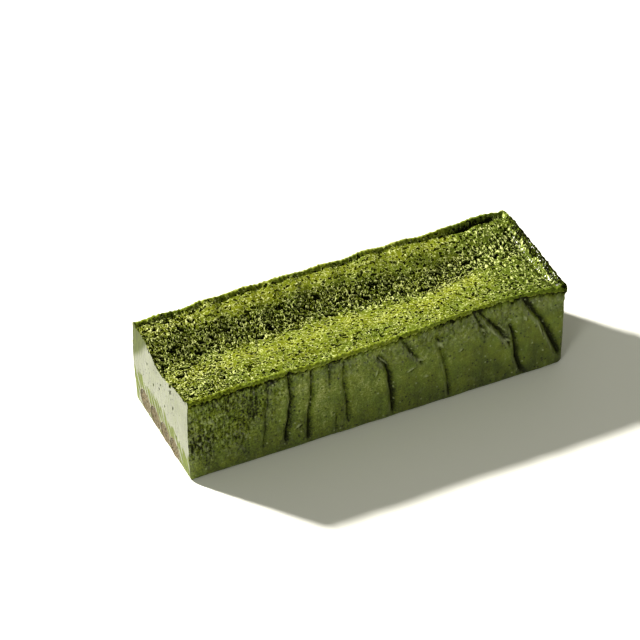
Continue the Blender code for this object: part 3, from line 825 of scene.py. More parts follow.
def place(x, y, level):
    """Places a point of the straight block on the loaf, and gives its wall marks and cut marks.

    level is 0 at the base and 1 on top. A wall's relief fades quickly inside the loaf.
    """
    top = top_height(x, y)
    z = level * top
    below = top - z
    side, side_marks = side_offset(x, y, z, below)
    far, far_marks = far_end_offset(y, z, below)
    cut, cut_marks = cut_end_offset(y, z)
    at_side = np.abs(y / HALF_WIDTH) ** WALL_FADE_POWER
    toward_far = ease(HALF_LENGTH - END_FADE, HALF_LENGTH, x)
    toward_cut = 1 - ease(-HALF_LENGTH, -HALF_LENGTH + END_FADE, x)
    on_far = x > HALF_LENGTH - STEP / 2
    cut = np.where(x < STEP / 2 - HALF_LENGTH, cut, plain_cut(y, z))
    new_x, new_y = round_corners(x, y)
    new_x = new_x + far * toward_far + cut * toward_cut
    marks = [np.where(on_far & (at_side < 0.99), f, s) for f, s in zip(far_marks, side_marks)]
    return np.stack([new_x, new_y + np.sign(y) * side * at_side, z], axis=-1), marks, cut_marks


def stations(low, high, low_rows, high_rows):
    """Places of the grid's lines: close rows by each edge and even steps between them."""
    start, end = low + low_rows[-1], high - high_rows[-1]
    middle = np.linspace(start, end, round((end - start) / STEP) + 1)
    return np.concatenate([low + np.array(low_rows[:-1]), middle,
                           high - np.array(high_rows[-2::-1])])


XS = stations(-HALF_LENGTH, HALF_LENGTH, [0.0], EDGE_ROWS)
YS = stations(-HALF_WIDTH, HALF_WIDTH, EDGE_ROWS, EDGE_ROWS)


def outline(first, last):
    """Edge points, as (column, row), of the grid from its first to its last column.

    They run in turn along the front, the side towards the far end, the back and the side
    towards the cut.
    """
    across = len(YS) - 1
    columns = np.concatenate([np.arange(first, last), np.full(across, last),
                              np.arange(last, first, -1), np.full(across, first)])
    rows = np.concatenate([np.zeros(last - first, int), np.arange(across),
                           np.full(last - first, across), np.arange(across, 0, -1)])
    return columns, rows


def grid_quads(numbers):
    """Quads over a grid of point numbers, wound so that they face up on a grid of rising X, Y."""
    corners = [numbers[:-1, :-1], numbers[1:, :-1], numbers[1:, 1:], numbers[:-1, 1:]]
    return np.stack([corner.ravel() for corner in corners], axis=1)


def band_quads(lower, upper):
    """Quads between two closed rings of point numbers, facing out of rings that turn left."""
    return np.stack([lower, np.roll(lower, -1), np.roll(upper, -1), upper], axis=1)


def fan(ring, tip):
    """Triangles from a closed ring to one point, facing the side from which the ring turns left."""
    return np.stack([ring, np.roll(ring, -1), np.full(len(ring), tip)], axis=1)


def inner_rings(rings, heart, first, last):
    """Rings of points inside the outline, drawn in and sunk under the top, and one middle point.

    Along X a ring is squeezed evenly to its two insets, and across it shrinks evenly.
    """
    columns, rows = outline(first, last)
    share = (XS[columns] - XS[first]) / (XS[last] - XS[first])
    points = []
    for inset, depth in rings:
        from_first = inset if first == 0 else MEETING_INSET
        from_last = inset if last == len(XS) - 1 else MEETING_INSET
        x = XS[columns] + from_first * (1 - share) - from_last * share
        y = YS[rows] * (1 - inset / HALF_WIDTH)
        ring, _, _ = place(x, y, 1.0)
        points.append(ring - [0.0, 0.0, depth])
    middle = (XS[first] + XS[last]) / 2
    return np.concatenate(points + [np.array([[middle, 0.0, heart]])])


def new_piece(name, points, faces, masks, materials, face_materials=None):
    """Makes a piece at the origin from points in millimetres, with its masks as attributes.

    A mask covers the first points, and is 0 at the rest, which only close the piece.
    """
    mesh = bpy.data.meshes.new(name)
    mesh.from_pydata((points * MM).tolist(), [], [face for part in faces for face in part.tolist()])
    for material in materials:
        mesh.materials.append(material)
    if face_materials is not None:
        mesh.polygons.foreach_set("material_index", face_materials.astype(np.int32))
    for mask_name, values in masks.items():
        layer = mesh.attributes.new(mask_name, "FLOAT", "POINT")
        padded = np.zeros(len(points), np.float32)
        padded[:np.size(values)] = np.ravel(values)
        layer.data.foreach_set("value", padded)
    mesh.shade_smooth()
    mesh.set_sharp_from_angle(angle=SHARP_ANGLE)
    piece = bpy.data.objects.new(name, mesh)
    bpy.context.scene.collection.objects.link(piece)
    return piece


def back_scallops(x, y):
    """Painted shade on the back lip's inner side: a band along it, wider and narrower in turn."""
    inside = HALF_WIDTH - y + SCALLOP_WANDER * swell(x, 0 * y, SCALLOP_REACH, seed=44)
    patchy = ease(*SCALLOP_PATCHES, swell(x, 0 * y, SCALLOP_REACH / 2, seed=46))
    patchy = blend_by(patchy, SCALLOP_LEAST, 1.0) * (1 - ease(*SCALLOP_END, x))
    return patchy * band_share(SCALLOP_BAND, inside)


def lip_share(x, y):
    """1 on the rim's lip and 0 in the crumb, with a ragged inner edge."""
    ragged = LIP_INNER_RAGGED * swell(x, y, LIP_LUMP_REACH, seed=42)
    return 1 - ease(LIP_CREST, LIP_CREST + 1.2, edge_distance(x, y) + ragged)


def crumb_crust(fit, name, first, last, material):
    """The crust between two columns: the top's grid, closed by rings under it to its middle."""
    x, y = np.meshgrid(XS[first:last + 1], YS, indexing="ij")
    top, _, _ = place(x, y, 1.0)
    _, hollow, crest = crumb(x, y)
    numbers = np.arange(x.size).reshape(x.shape)
    columns, rows = outline(first, last)
    edge = numbers[columns - first, rows]
    under = inner_rings(CRUST_RINGS, CRUST_HEART, first, last)
    rings = [edge] + [x.size + np.arange(len(edge)) + index * len(edge)
                      for index in range(len(CRUST_RINGS))]
    faces = [grid_quads(numbers)]
    faces += [band_quads(lower, upper) for upper, lower in zip(rings[:-1], rings[1:])]
    faces.append(fan(rings[-1][::-1], x.size + len(under) - 1))
    # Painted shade: the back lip's scallops and the groove inside it add to the hollows' painted
    # shade, and the far roll is darker as well
    roll = 1 - ease(*ROLL_WIDTH, HALF_LENGTH - x)
    dark = np.maximum(SCALLOP_SHADE * back_scallops(x, y), ROLL_SHADE * roll * (1 - knob(x, y)))
    groove = lip_groove(x, y)
    dark = np.maximum(groove, dark)
    lumpy = ease(0.0, 0.8, -swell(x, y, KNOB_REACH, seed=43))
    crest = np.maximum(crest * (1 - groove), KNOB_CREST * knob(x, y) * lumpy)
    # Painted light on the lip, strongest on the back lip's outer edge
    lip = lip_share(x, y) * (1 + BACK_LIP_HIGHLIGHT * ease(HALF_WIDTH - 2, HALF_WIDTH - 0.3, y))
    # Painted light in the band before the valley and inside the back lip, and darker and greener by
    # the moulded end
    lit_band_dark_end = bell(y, curve(VALLEY_LINE, x) - YELLOW_OFFSET, YELLOW_WIDTH)
    lit_band_dark_end = np.maximum(lit_band_dark_end, bell(y, HALF_WIDTH - YELLOW_BEHIND, YELLOW_BEHIND_WIDTH))
    lit_band_dark_end = blend_by(ease(*WET_RANGE, x), lit_band_dark_end, -1.0)
    # Deeper painted shade on the open part before the moulded end
    deeper = 1 + DEEPER_SHARE * band_share(DEEPER_RANGE, x)
    masks = {"hollow": np.maximum(hollow, dark), "crest": crest, "lip": lip,
             "wet": far_gloss(x, y), "lit_band_dark_end": lit_band_dark_end, "open": open_share(x, y) * deeper}
    points = fit(np.concatenate([top.reshape(-1, 3), under]))
    return new_piece(name, points, faces, masks, [material])


def wall_levels():
    """Levels of the walls' rows: close at the base and under the rim, even between."""
    ends = len(BASE_LEVELS) + len(TOP_LEVELS) - 2
    between = np.linspace(BASE_LEVELS[-1], TOP_LEVELS[0], LEVEL_ROWS - ends)
    return np.concatenate([BASE_LEVELS[:-1], between, TOP_LEVELS[1:]])


def wall_rings(first, last):
    """Points of the walls round some columns, ring upon ring from the base up, with their marks."""
    columns, rows = outline(first, last)
    levels = wall_levels()
    x = np.broadcast_to(XS[columns], (len(levels), len(columns)))
    y = np.broadcast_to(YS[rows], x.shape)
    return place(x, y, levels[:, None])


def custard_body(fit, name, first, last, walls, materials):
    """The custard between two columns: its walls, a flat base, and a top closed in the crust.

    The faces between the points of the cut end take the second material.
    """
    points, marks, cut_marks = walls
    height, around = points.shape[:2]
    numbers = np.arange(height * around).reshape(height, around)
    over = inner_rings(BODY_RINGS, BODY_HEART, first, last)
    rings = list(numbers) + [numbers.size + np.arange(around) + index * around
                             for index in range(len(BODY_RINGS))]
    base = numbers.size + len(over)
    faces = [band_quads(lower, upper) for lower, upper in zip(rings[:-1], rings[1:])]
    faces += [fan(rings[-1], base - 1), fan(rings[0][::-1], base)]
    on_cut = np.zeros((len(faces), around), int)
    if first == 0:
        on_cut[:height - 1, around - (len(YS) - 1):] = 1
    masks = dict(zip(WALL_MARKS + CUT_MARKS, marks + cut_marks))
    middle = [[(XS[first] + XS[last]) / 2, 0.0, 0.0]]
    points = fit(np.concatenate([points.reshape(-1, 3), over, middle]))
    return new_piece(name, points, faces, masks, materials, on_cut.ravel())


def bean(fit, number, radius, centre, face, material):
    """A halved bean: a turned egg about X with a wrinkled skin, ending in its uneven cut.

    Rings run from the tip inside the loaf over the widest one to the cut's edge, then in over
    the cut to its middle. The cut has a skin rim, a dished flesh with lumps, and a split.
    """
    turn = np.linspace(0, 2 * math.pi, BEAN_AROUND, endpoint=False)
    end = math.pi - math.acos((centre[0] - face - BEAN_RECESS) / radius)
    angle = end * np.arange(1, BEAN_SHELL_RINGS + 1)[:, None] / BEAN_SHELL_RINGS
    wave = swell(angle * radius, turn[None, :] * 0, BEAN_WRINKLE_REACH, seed=100 + number)
    fine = swell(angle * 2, np.cos(turn) * 4, BEAN_WRINKLE_REACH, seed=110 + number)
    wave = wave * np.cos(3 * turn) + fine
    out = radius * np.sin(angle) - BEAN_WRINKLE * (1 + 0.5 * wave)
    shell_x = radius * BEAN_STRETCH * np.cos(angle) + 0 * out
    rim = out[-1]
    inward = 1 - np.arange(1, BEAN_CUT_RINGS + 1)[:, None] / (BEAN_CUT_RINGS + 1)
    cut_out = rim * inward
    side, up = cut_out * np.cos(turn), cut_out * np.sin(turn)
    flesh = 1 - ease(BEAN_SKIN_RIM - 0.08, BEAN_SKIN_RIM + 0.04, inward + 0 * side)
    heading = 0.5 + 0.9 * number
    across = side * math.cos(heading) + up * math.sin(heading)
    across = across + 0.35 * swell(side, up, 3.0, seed=120 + number)
    split = bell(across, 0.0, BEAN_SPLIT_WIDTH) * flesh
    lumps = swell(side, up, BEAN_LUMP_REACH, seed=130 + number)
    ridge = BEAN_RIDGE * bell(across, 0.0, BEAN_RIDGE_WIDTH)
    dish = BEAN_DISH * (1 - inward ** 2) * flesh * (1 - ridge)
    cut_x = face + BEAN_RECESS - centre[0] + dish + BEAN_LUMP * flesh * (lumps + 0.8).clip(0)
    cut_x = cut_x + BEAN_SPLIT_DEPTH * split
    xs = np.concatenate([shell_x, cut_x])
    outs = np.concatenate([out, cut_out])
    rings = np.stack([xs + centre[0], outs * np.cos(turn) + centre[1],
                      outs * BEAN_FLATTEN * np.sin(turn) + centre[2]], axis=-1)
    tip = [centre[0] + radius * BEAN_STRETCH, centre[1], centre[2]]
    middle = [rings[-1, :, 0].mean(), centre[1], centre[2]]
    numbers = np.arange(len(xs) * BEAN_AROUND).reshape(len(xs), BEAN_AROUND)
    faces = [band_quads(lower, upper) for upper, lower in zip(numbers[:-1], numbers[1:])]
    faces += [fan(numbers[0], numbers.size), fan(numbers[-1][::-1], numbers.size + 1)]
    shell = np.zeros(out.shape)
    masks = {"flesh": np.concatenate([np.concatenate([shell, flesh]).ravel(), [0.0, 1.0]]),
             "split": np.concatenate([np.concatenate([shell, split]).ravel(), [0.0, 1.0]])}
    points = fit(np.concatenate([rings.reshape(-1, 3), [tip, middle]]))
    return new_piece(f"halved_bean_{number}", points, faces, masks, [material])


def add_node(tree, kind, values=None, **settings):
    """Adds a node, sets its settings, and gives its inputs values or joins sockets to them."""
    made = tree.nodes.new(kind)
    for name, value in settings.items():
        setattr(made, name, value)
    for name, value in (values or {}).items():
        if isinstance(value, bpy.types.NodeSocket):
            tree.links.new(value, made.inputs[name])
        else:
            made.inputs[name].default_value = value
    return made


def maths(tree, operation, first, second=0.0, third=0.0, clamp=False):
    """The result of a Math node on numbers or sockets."""
    made = add_node(tree, "ShaderNodeMath", {0: first, 1: second, 2: third}, operation=operation,
                    use_clamp=clamp)
    return made.outputs[0]


def blend(tree, share, first, second):
    """A colour between first, at share 0, and second, at share 1."""
    made = add_node(tree, "ShaderNodeMix", {"Factor": share, "A": first, "B": second},
                    data_type="RGBA")
    return made.outputs["Result"]


def remap(tree, value, low, high, to_low=0.0, to_high=1.0):
    """value taken from between low and high to between to_low and to_high, held at the ends."""
    made = add_node(tree, "ShaderNodeMapRange", {"Value": value, "From Min": low, "From Max": high,
                                                 "To Min": to_low, "To Max": to_high})
    return made.outputs["Result"]


def mask(tree, name):
    """A piece's own mask, as a number."""
    return add_node(tree, "ShaderNodeAttribute", attribute_name=name).outputs["Fac"]


def noise(tree, size, detail=2.0, stretch=(1.0, 1.0, 1.0), roughness=0.5):
    """Soft noise whose lumps are about size millimetres across, on the piece's own place."""
    where = add_node(tree, "ShaderNodeTexCoord").outputs["Object"]
    scale = [1 / (size * MM) * part for part in stretch]
    where = add_node(tree, "ShaderNodeMapping", {"Vector": where, "Scale": scale}).outputs["Vector"]
    made = add_node(tree, "ShaderNodeTexNoise", {"Vector": where, "Scale": 1.0, "Detail": detail,
                                                 "Roughness": roughness})
    return made.outputs["Fac"]


def new_group(name, inputs, outputs):
    """An empty node group with number inputs and outputs of the given kinds."""
    tree = bpy.data.node_groups.new(name, "ShaderNodeTree")
    for socket in inputs:
        tree.interface.new_socket(socket, in_out="INPUT", socket_type="NodeSocketFloat")
    for socket, kind in outputs:
        tree.interface.new_socket(socket, in_out="OUTPUT", socket_type=kind)
    return tree, tree.nodes.new("NodeGroupInput").outputs, tree.nodes.new("NodeGroupOutput").inputs


def matcha_tones():
    """Group: the greens of the custard, from wet shadow (Shade 0) to bright crest (Shade 1). Shade
    carries the custard's own lighter and darker tones together with painted shade and painted
    highlights.

    Mottle moves the tone between a fresher green (0) and a yellower one (1).
    """
    tree, given, result = new_group("matcha_tones", ["Shade", "Mottle"],
                                    [("Colour", "NodeSocketColor")])
    middle = blend(tree, given["Mottle"], TONE_FRESH, TONE_YELLOW)
    low = blend(tree, remap(tree, given["Shade"], 0.0, 0.5), TONE_DEEP, middle)
    full = blend(tree, remap(tree, given["Shade"], 0.5, 1.0), low, TONE_CREST)
    tree.links.new(full, result["Colour"])
    return tree


def wet_grain():
    """Group: fine grain of a moist surface, as a height and as a mask of its wettest specks."""
    tree, given, result = new_group("wet_grain", ["Coarse", "Specks"],
                                    [("Height", "NodeSocketFloat"), ("Wet", "NodeSocketFloat")])
    fine = noise(tree, 0.28, detail=3.0)
    coarse = noise(tree, 0.8, detail=2.0)
    height = maths(tree, "ADD", fine, maths(tree, "MULTIPLY", coarse, given["Coarse"]))
    tree.links.new(height, result["Height"])
    specks = noise(tree, 0.45, detail=1.0)
    edge = maths(tree, "SUBTRACT", 0.75, maths(tree, "MULTIPLY", given["Specks"], 0.3))
    wet = maths(tree, "MULTIPLY", maths(tree, "SUBTRACT", specks, edge), 12.0, clamp=True)
    tree.links.new(wet, result["Wet"])
    return tree


def fine_foam():
    """Group: foam finer than the mesh, as how deep in a pore a point is and how far on its rim.

    Pores open where soft noise, with lumps of Size millimetres, is under Level. The rim is the
    band of the noise just over it, broken into curls by coarser noise.
    """
    tree, given, result = new_group("fine_foam", ["Size", "Level"],
                                    [("Pore", "NodeSocketFloat"), ("Rim", "NodeSocketFloat")])
    where = add_node(tree, "ShaderNodeTexCoord").outputs["Object"]
    scale = maths(tree, "DIVIDE", 1 / MM, given["Size"])
    where = add_node(tree, "ShaderNodeVectorMath", {0: where, "Scale": scale}, operation="SCALE")
    lumps = add_node(tree, "ShaderNodeTexNoise", {"Vector": where.outputs[0], "Scale": 1.0,
                                                  "Detail": 1.0}).outputs["Fac"]
    above = maths(tree, "SUBTRACT", lumps, given["Level"])
    tree.links.new(maths(tree, "MULTIPLY", above, -14.0, clamp=True), result["Pore"])
    away = maths(tree, "ABSOLUTE", maths(tree, "SUBTRACT", above, 0.05))
    rim = maths(tree, "SUBTRACT", 1.0, maths(tree, "DIVIDE", away, 0.045), clamp=True)
    curls = remap(tree, noise(tree, 1.9), 0.4, 0.56, 0.25, 1.0)
    tree.links.new(maths(tree, "MULTIPLY", rim, curls), result["Rim"])
    return tree


def strewn_pores():
    """Group: small round pores, 1 in their middle, in a share of the cells of an uneven net.

    Size is a cell's width in millimetres, and Reach a pore's radius in cells.
    """
    tree, given, result = new_group("strewn_pores", ["Size", "Share", "Reach"],
                                    [("Pore", "NodeSocketFloat")])
    where = add_node(tree, "ShaderNodeTexCoord").outputs["Object"]
    scale = maths(tree, "DIVIDE", 1 / MM, given["Size"])
    where = add_node(tree, "ShaderNodeVectorMath", {0: where, "Scale": scale}, operation="SCALE")
    cells = add_node(tree, "ShaderNodeTexVoronoi", {"Vector": where.outputs[0], "Scale": 1.0})
    near = maths(tree, "DIVIDE", cells.outputs["Distance"], given["Reach"])
    depth = maths(tree, "SUBTRACT", 1.0, near, clamp=True)
    draw = add_node(tree, "ShaderNodeSeparateColor", {"Color": cells.outputs["Color"]})
    chosen = maths(tree, "LESS_THAN", draw.outputs["Red"], given["Share"])
    tree.links.new(maths(tree, "MULTIPLY", depth, chosen), result["Pore"])
    return tree


def use_group(tree, group, values):
    """Places a group in a material, with its values, and returns its outputs."""
    return add_node(tree, "ShaderNodeGroup", values, node_tree=group).outputs


def new_material(name):
    """A material with its shader, ready for nodes to be joined to it."""
    material = bpy.data.materials.new(name)
    material.use_nodes = True
    return material, material.node_tree, material.node_tree.nodes["Principled BSDF"]


def finish_shader(tree, shader, colour, roughness, height, bump_mm, coat=None):
    """Joins a material's colour, roughness, relief in millimetres and coat to its shader."""
    tree.links.new(colour, shader.inputs["Base Color"])
    tree.links.new(roughness, shader.inputs["Roughness"])
    bump = add_node(tree, "ShaderNodeBump", {"Height": height, "Distance": bump_mm * MM})
    tree.links.new(bump.outputs["Normal"], shader.inputs["Normal"])
    if coat is not None:
        tree.links.new(coat, shader.inputs["Coat Weight"])


def total(tree, start, *parts, clamp=False):
    """A number plus each of the (socket, factor) parts in turn."""
    for index, (socket, factor) in enumerate(parts):
        last = clamp and index == len(parts) - 1
        start = maths(tree, "ADD", start, maths(tree, "MULTIPLY", socket, factor), clamp=last)
    return start


def crumb_material(tones, grain, foamed):
    """Open crumb: olive foam, painted shade in pores, painted highlights and glints on crests."""
    material, tree, shader = new_material("matcha_crumb")
    hollow, crest, lip, wet, lit_band_dark_end, opened = (mask(tree, name) for name in CRUST_MARKS)
    mottle = remap(tree, noise(tree, 7.0), 0.35, 0.65, 0.1, 0.6)
    # Yellower where the band before the valley takes painted light
    mottle = total(tree, mottle, (lit_band_dark_end, 0.45), clamp=True)
    fleck = remap(tree, noise(tree, 0.8, detail=3.0), 0.3, 0.7, -0.12, 0.12)
    fine = use_group(tree, foamed, {"Size": 1.4, "Level": 0.435})
    inside = total(tree, 1.0, (lip, -0.7), clamp=True)
    pore, rim = (maths(tree, "MULTIPLY", fine[name], inside) for name in ("Pore", "Rim"))
    curled = maths(tree, "MULTIPLY", maths(tree, "MAXIMUM", crest, rim), opened)
    # Shade: the crumb's own tone and flecks, painted light on the lip and the band, painted
    # highlights on crests and rims, most on the open part, and painted shade on the open part, in
    # the hollows and in the pores
    shade = total(tree, 0.29, (fleck, 1.0), (lip, 0.17), (lit_band_dark_end, 0.09), (opened, -0.19),
                  (crest, 0.7), (rim, 0.6), (curled, 0.5), (hollow, -0.45), (pore, -0.35),
                  clamp=True)
    colour = use_group(tree, tones, {"Shade": shade, "Mottle": mottle})["Colour"]
    detail = use_group(tree, grain, {"Coarse": 0.8, "Specks": 0.3})
    # Painted glints: the wettest specks of the crests and rims are lightened towards GLINT, and
    # they take the coat as well
    glint = maths(tree, "MULTIPLY", detail["Wet"], maths(tree, "MAXIMUM", crest, rim))
    colour = blend(tree, glint, colour, GLINT)
    streak = remap(tree, noise(tree, 1.4, detail=3.0, stretch=(1.0, 0.3, 1.0)), 0.44, 0.56)
    gloss = maths(tree, "MULTIPLY", maths(tree, "MULTIPLY", wet, streak), 0.62)
    coat = maths(tree, "MAXIMUM", glint, gloss)
    roughness = total(tree, 0.6, (hollow, 0.3))
    height = total(tree, detail["Height"], (rim, 2.0), (pore, -4.0))
    finish_shader(tree, shader, colour, roughness, height, 0.04, coat)
    shader.inputs["Specular IOR Level"].default_value = 0.0
    shader.inputs["Coat Roughness"].default_value = 0.15
    return material


def wall_material(tones, grain, pores):
    """Moulded wall: satin custard, softly mottled, with painted shade in its folds and pores, and
    the hung crust in painted light.

    The rough part's blotches, partly painted shade, its smears and its flecks of painted highlight
    break its edge up, and only the smooth part has the satin coat. A faint painted grey-green sheen
    lies over the rest, with painted highlights on the beads, ledges and facets. The wall is darker
    towards the base and takes painted shade towards the moulded end.
    """
    material, tree, shader = new_material("matcha_wall")
    fold, pale, rough, hang, under = (mask(tree, name) for name in WALL_MARKS)
    mottle = remap(tree, noise(tree, 5.0, detail=4.0), 0.35, 0.65, 0.0, 0.44)
    # Yellower on the hung crust, with its painted light
    mottle = total(tree, mottle, (hang, 0.6), clamp=True)
    ripple = remap(tree, noise(tree, 2.0, stretch=(1.0, 1.0, 0.12)), 0.35, 0.65, -0.5, 0.5)
    cloud = noise(tree, 6.0, detail=4.0, stretch=(1.0, 1.0, 0.6))
    cloud = remap(tree, cloud, 0.3, 0.7, -0.13, 0.13)
    fleck = remap(tree, noise(tree, 1.1, detail=4.0, roughness=0.65), 0.3, 0.7, -0.5, 0.5)
    grit = remap(tree, noise(tree, 0.6), 0.35, 0.65, -0.5, 0.5)
    blotch = noise(tree, 1.1, detail=4.0, stretch=(1.0, 1.0, 0.35), roughness=0.6)
    where = add_node(tree, "ShaderNodeSeparateXYZ",
                     {"Vector": add_node(tree, "ShaderNodeTexCoord").outputs["Object"]})
    # Darker towards the base, and painted shade towards the moulded end
    foot = remap(tree, where.outputs["Z"], 2 * MM, 20 * MM, 1.0, 0.0)
    far = remap(tree, where.outputs["X"], -10 * MM, 70 * MM)
    # Dark blotches of the rough skin near the cut: partly its own dark mottling, partly painted
    # shade
    dark_blotch_and_shade = remap(tree, total(tree, blotch, (rough, 0.1)), 0.5, 0.66)
    dark_blotch_and_shade = maths(tree, "MULTIPLY", rough, dark_blotch_and_shade)
    # Flecks of painted highlight, most on the rough skin
    highlight_flecks = remap(tree, noise(tree, 1.3, detail=4.0, stretch=(1.0, 1.0, 0.7)), 0.58, 0.66)
    highlight_flecks = maths(tree, "MULTIPLY", highlight_flecks, total(tree, 0.16, (rough, 0.4)))
    share = total(tree, 0.26, (rough, 0.35))
    pore = use_group(tree, pores, {"Size": 1.6, "Share": share, "Reach": 0.34})["Pore"]
    # Pale specks: painted highlights
    speck = use_group(tree, pores, {"Size": 2.3, "Share": 0.3, "Reach": 0.24})["Pore"]
    meal = total(tree, fleck, (grit, 1.0))
    mealy = maths(tree, "MULTIPLY", meal, total(tree, 1.0, (far, -1.0)))
    rough_fleck = maths(tree, "MULTIPLY", fleck, rough)
    # Shade: own tone, mottling and flecks, painted shade in the folds and pores, under the crust
    # and towards the moulded end, the blotches partly painted shade, painted light on the hung
    # crust, and darker towards the base
    shade = total(tree, 0.485, (cloud, 1.0), (rough_fleck, 0.25), (fleck, 0.12), (grit, 0.06),
                  (mealy, 0.18), (ripple, 0.09), (rough, -0.11), (dark_blotch_and_shade, -0.23), (fold, -0.44),
                  (pore, -0.5), (under, -0.3), (hang, 0.14), (foot, -0.17), (far, -0.11),
                  clamp=True)
    colour = use_group(tree, tones, {"Shade": shade, "Mottle": mottle})["Colour"]
    # A faint painted sheen everywhere, with painted highlights on the pale marks, flecks and
    # specks, but none on the shaded, blotched or hung parts
    sheen_and_highlights = total(tree, 0.04, (pale, 0.85), (highlight_flecks, 0.8), (speck, 1.0), clamp=True)
    bare = total(tree, 1.0, (under, -0.8), (dark_blotch_and_shade, -0.6), (hang, -0.9), clamp=True)
    colour = blend(tree, maths(tree, "MULTIPLY", sheen_and_highlights, bare), colour, PALE_EDGE)
    detail = use_group(tree, grain, {"Coarse": 0.5, "Specks": 0.15})
    height = total(tree, detail["Height"], (pore, -4.0), (fleck, 1.5), (grit, 1.0), (speck, 2.0))
    roughness = total(tree, 0.5, (rough, 0.3))
    dull = maths(tree, "MAXIMUM", maths(tree, "MAXIMUM", dark_blotch_and_shade, under), fold)
    coat = remap(tree, dull, 0.0, 0.6, 0.5, 0.0)
    finish_shader(tree, shader, colour, roughness, height, 0.08, coat)
    shader.inputs["Specular IOR Level"].default_value = 0.0
    shader.inputs["Coat Roughness"].default_value = 0.3
    return material


def cut_material(tones, grain, pores):
    """Cut end: smooth moist custard that takes a broad gloss, green and rough where dragged."""
    material, tree, shader = new_material("matcha_cut")
    pit, dragged, matt, by_bean = (mask(tree, name) for name in CUT_MARKS)
    speck = use_group(tree, pores, {"Size": 1.7, "Share": 0.4, "Reach": 0.24})["Pore"]
    streak = noise(tree, 1.4, detail=4.0, stretch=(1.0, 1.2, 0.3))
    patch = noise(tree, 9.0, detail=3.0)
    # Painted shade in the pits and the specks
    shade = total(tree, remap(tree, streak, 0.3, 0.7, 0.1, 0.22), (pit, -0.25), (speck, -0.3),
                  (dragged, 0.14), clamp=True)
    green = use_group(tree, tones, {"Shade": shade, "Mottle": 0.3})["Colour"]
    stain = remap(tree, maths(tree, "ADD", by_bean, noise(tree, 1.5, detail=3.0)), 0.9, 1.4)
    colour = blend(tree, stain, green, BEAN_STAIN)
    detail = use_group(tree, grain, {"Coarse": 0.4, "Specks": 0.1})
    dull = maths(tree, "MAXIMUM", dragged, matt)
    dull = maths(tree, "MAXIMUM", dull, total(tree, pit, (speck, 0.8)))
    roughness = remap(tree, dull, 0.0, 1.0, 0.4, 0.65)
    coat = remap(tree, dull, 0.0, 0.8, 0.7, 0.0)
    coat = maths(tree, "MULTIPLY", coat, remap(tree, patch, 0.35, 0.65, 0.66, 1.0))
    height = total(tree, detail["Height"], (speck, -6.0), (streak, 1.5))
    finish_shader(tree, shader, colour, roughness, height, 0.02, coat)
    shader.inputs["Specular IOR Level"].default_value = 0.25
    shader.inputs["Coat Roughness"].default_value = 0.1
    return material


def bean_material(grain):
    """Black bean: a wet near-black skin round brown flesh with pinkish flecks and a dark split."""
    material, tree, shader = new_material("black_bean")
    flesh, split = mask(tree, "flesh"), mask(tree, "split")
    fleck = remap(tree, noise(tree, 0.9, detail=3.0), 0.35, 0.65)
    inside = blend(tree, fleck, BEAN_FLESH_DARK, BEAN_FLESH_PALE)
    inside = blend(tree, maths(tree, "MULTIPLY", split, 0.5), inside, BEAN_SPLIT)
    tint = blend(tree, remap(tree, noise(tree, 2.5), 0.4, 0.6), BEAN_SKIN, BEAN_SKIN_BROWN)
    colour = blend(tree, flesh, tint, inside)
    detail = use_group(tree, grain, {"Coarse": 0.7, "Specks": 0.4})
    roughness = remap(tree, flesh, 0.0, 1.0, 0.25, 0.55)
    finish_shader(tree, shader, colour, roughness, detail["Height"], 0.02,
                  maths(tree, "MULTIPLY", detail["Wet"], 0.2))
    shader.inputs["Specular IOR Level"].default_value = 0.15
    return material


def sun(name, source, strength, softness, colour):
    """A distant light that shines from source."""
    light = bpy.data.lights.new(name, "SUN")
    light.energy = strength
    light.angle = softness
    light.color = colour
    lamp = bpy.data.objects.new(name, light)
    lamp.rotation_euler = Vector(source).to_track_quat("Z", "Y").to_euler()
    bpy.context.scene.collection.objects.link(lamp)


def floor_and_light():
    """The pale floor, the key light from behind, the fill from the front, and the surround."""
    mesh = bpy.data.meshes.new("pale_floor")
    half = FLOOR_SIDE / 2
    mesh.from_pydata([(-half, -half, 0), (half, -half, 0), (half, half, 0), (-half, half, 0)], [],
                     [(0, 1, 2, 3)])
    material, _, shader = new_material("pale_floor")
    shader.inputs["Base Color"].default_value = FLOOR_COLOUR
    shader.inputs["Roughness"].default_value = 0.6
    mesh.materials.append(material)
    floor = bpy.data.objects.new("pale_floor", mesh)
    bpy.context.scene.collection.objects.link(floor)
    sun("key", KEY_FROM, KEY_STRENGTH, KEY_SOFTNESS, KEY_COLOUR)
    sun("fill", FILL_FROM, FILL_STRENGTH, FILL_SOFTNESS, FILL_COLOUR)
    world = bpy.data.worlds.new("surround")
    world.use_nodes = True
    background = world.node_tree.nodes["Background"]
    background.inputs["Color"].default_value = (*SURROUND_COLOUR, 1.0)
    background.inputs["Strength"].default_value = SURROUND_STRENGTH
    bpy.context.scene.world = world
    bpy.context.scene.view_settings.view_transform = "Standard"


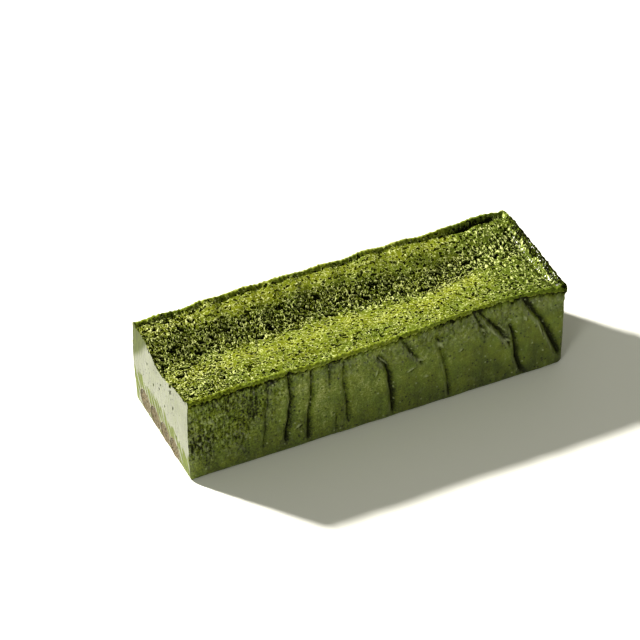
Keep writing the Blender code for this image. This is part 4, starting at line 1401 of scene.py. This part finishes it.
def camera():
    """The camera, at the photograph's angle: it looks down on the loaf from the front left."""
    ahead = Vector(CAMERA_AIM).normalized()
    level = ahead.cross(Vector((0, 0, 1))).normalized()
    upward = level.cross(ahead)
    turned = math.cos(CAMERA_ROLL) * level - math.sin(CAMERA_ROLL) * upward
    upward = math.sin(CAMERA_ROLL) * level + math.cos(CAMERA_ROLL) * upward
    data = bpy.data.cameras.new("camera")
    data.lens = CAMERA_LENS
    data.sensor_width = SENSOR_WIDTH
    stand = bpy.data.objects.new("camera", data)
    matrix = Matrix((turned, upward, -ahead)).transposed().to_4x4()
    matrix.translation = Vector(CAMERA_PLACE) * MM
    stand.matrix_world = matrix
    bpy.context.scene.collection.objects.link(stand)
    bpy.context.scene.camera = stand


def terrine():
    """Builds the crust, the custard and the beans on the solid's middle and within its box."""
    low, high = (np.array(corner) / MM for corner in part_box("terrine"))
    middle, last = len(XS) // 2, len(XS) - 1
    halves = [("by_cut", 0, middle), ("by_end", middle, last)]
    walls = [wall_rings(start, end) for _, start, end in halves]
    spread = np.concatenate([half[0].reshape(-1, 3) for half in walls])
    shift = (low + high) / 2 - (spread.min(axis=0) + spread.max(axis=0)) / 2
    shift[2] = 0.0

    def fit(points):
        """Shifts points onto the solid's middle and keeps them within its box."""
        return np.clip(points + shift, low, high)

    tones, grain, pores = matcha_tones(), wet_grain(), strewn_pores()
    crumb_finish = crumb_material(tones, grain, fine_foam())
    finishes = [wall_material(tones, grain, pores), cut_material(tones, grain, pores)]
    for (side, start, end), half in zip(halves, walls):
        crust = crumb_crust(fit, f"crumb_crust_{side}", start, end, crumb_finish)
        body = custard_body(fit, f"custard_body_{side}", start, end, half, finishes)
        for piece in (crust, body):
            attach(piece, "root")
            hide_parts("terrine")
    skin = bean_material(grain)
    for index, (radius, centre, face) in enumerate(bean_places()):
        half = bean(fit, index + 1, radius, centre, face, skin)
        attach(half, "root")
        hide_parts(f"bean_{index + 1}")


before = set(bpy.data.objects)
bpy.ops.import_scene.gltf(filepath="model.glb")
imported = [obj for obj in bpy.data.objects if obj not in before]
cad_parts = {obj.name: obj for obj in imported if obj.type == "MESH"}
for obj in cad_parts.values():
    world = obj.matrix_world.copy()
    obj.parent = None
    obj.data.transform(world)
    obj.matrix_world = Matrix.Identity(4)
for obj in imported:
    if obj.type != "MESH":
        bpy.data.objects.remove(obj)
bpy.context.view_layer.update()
camera()
floor_and_light()
terrine()
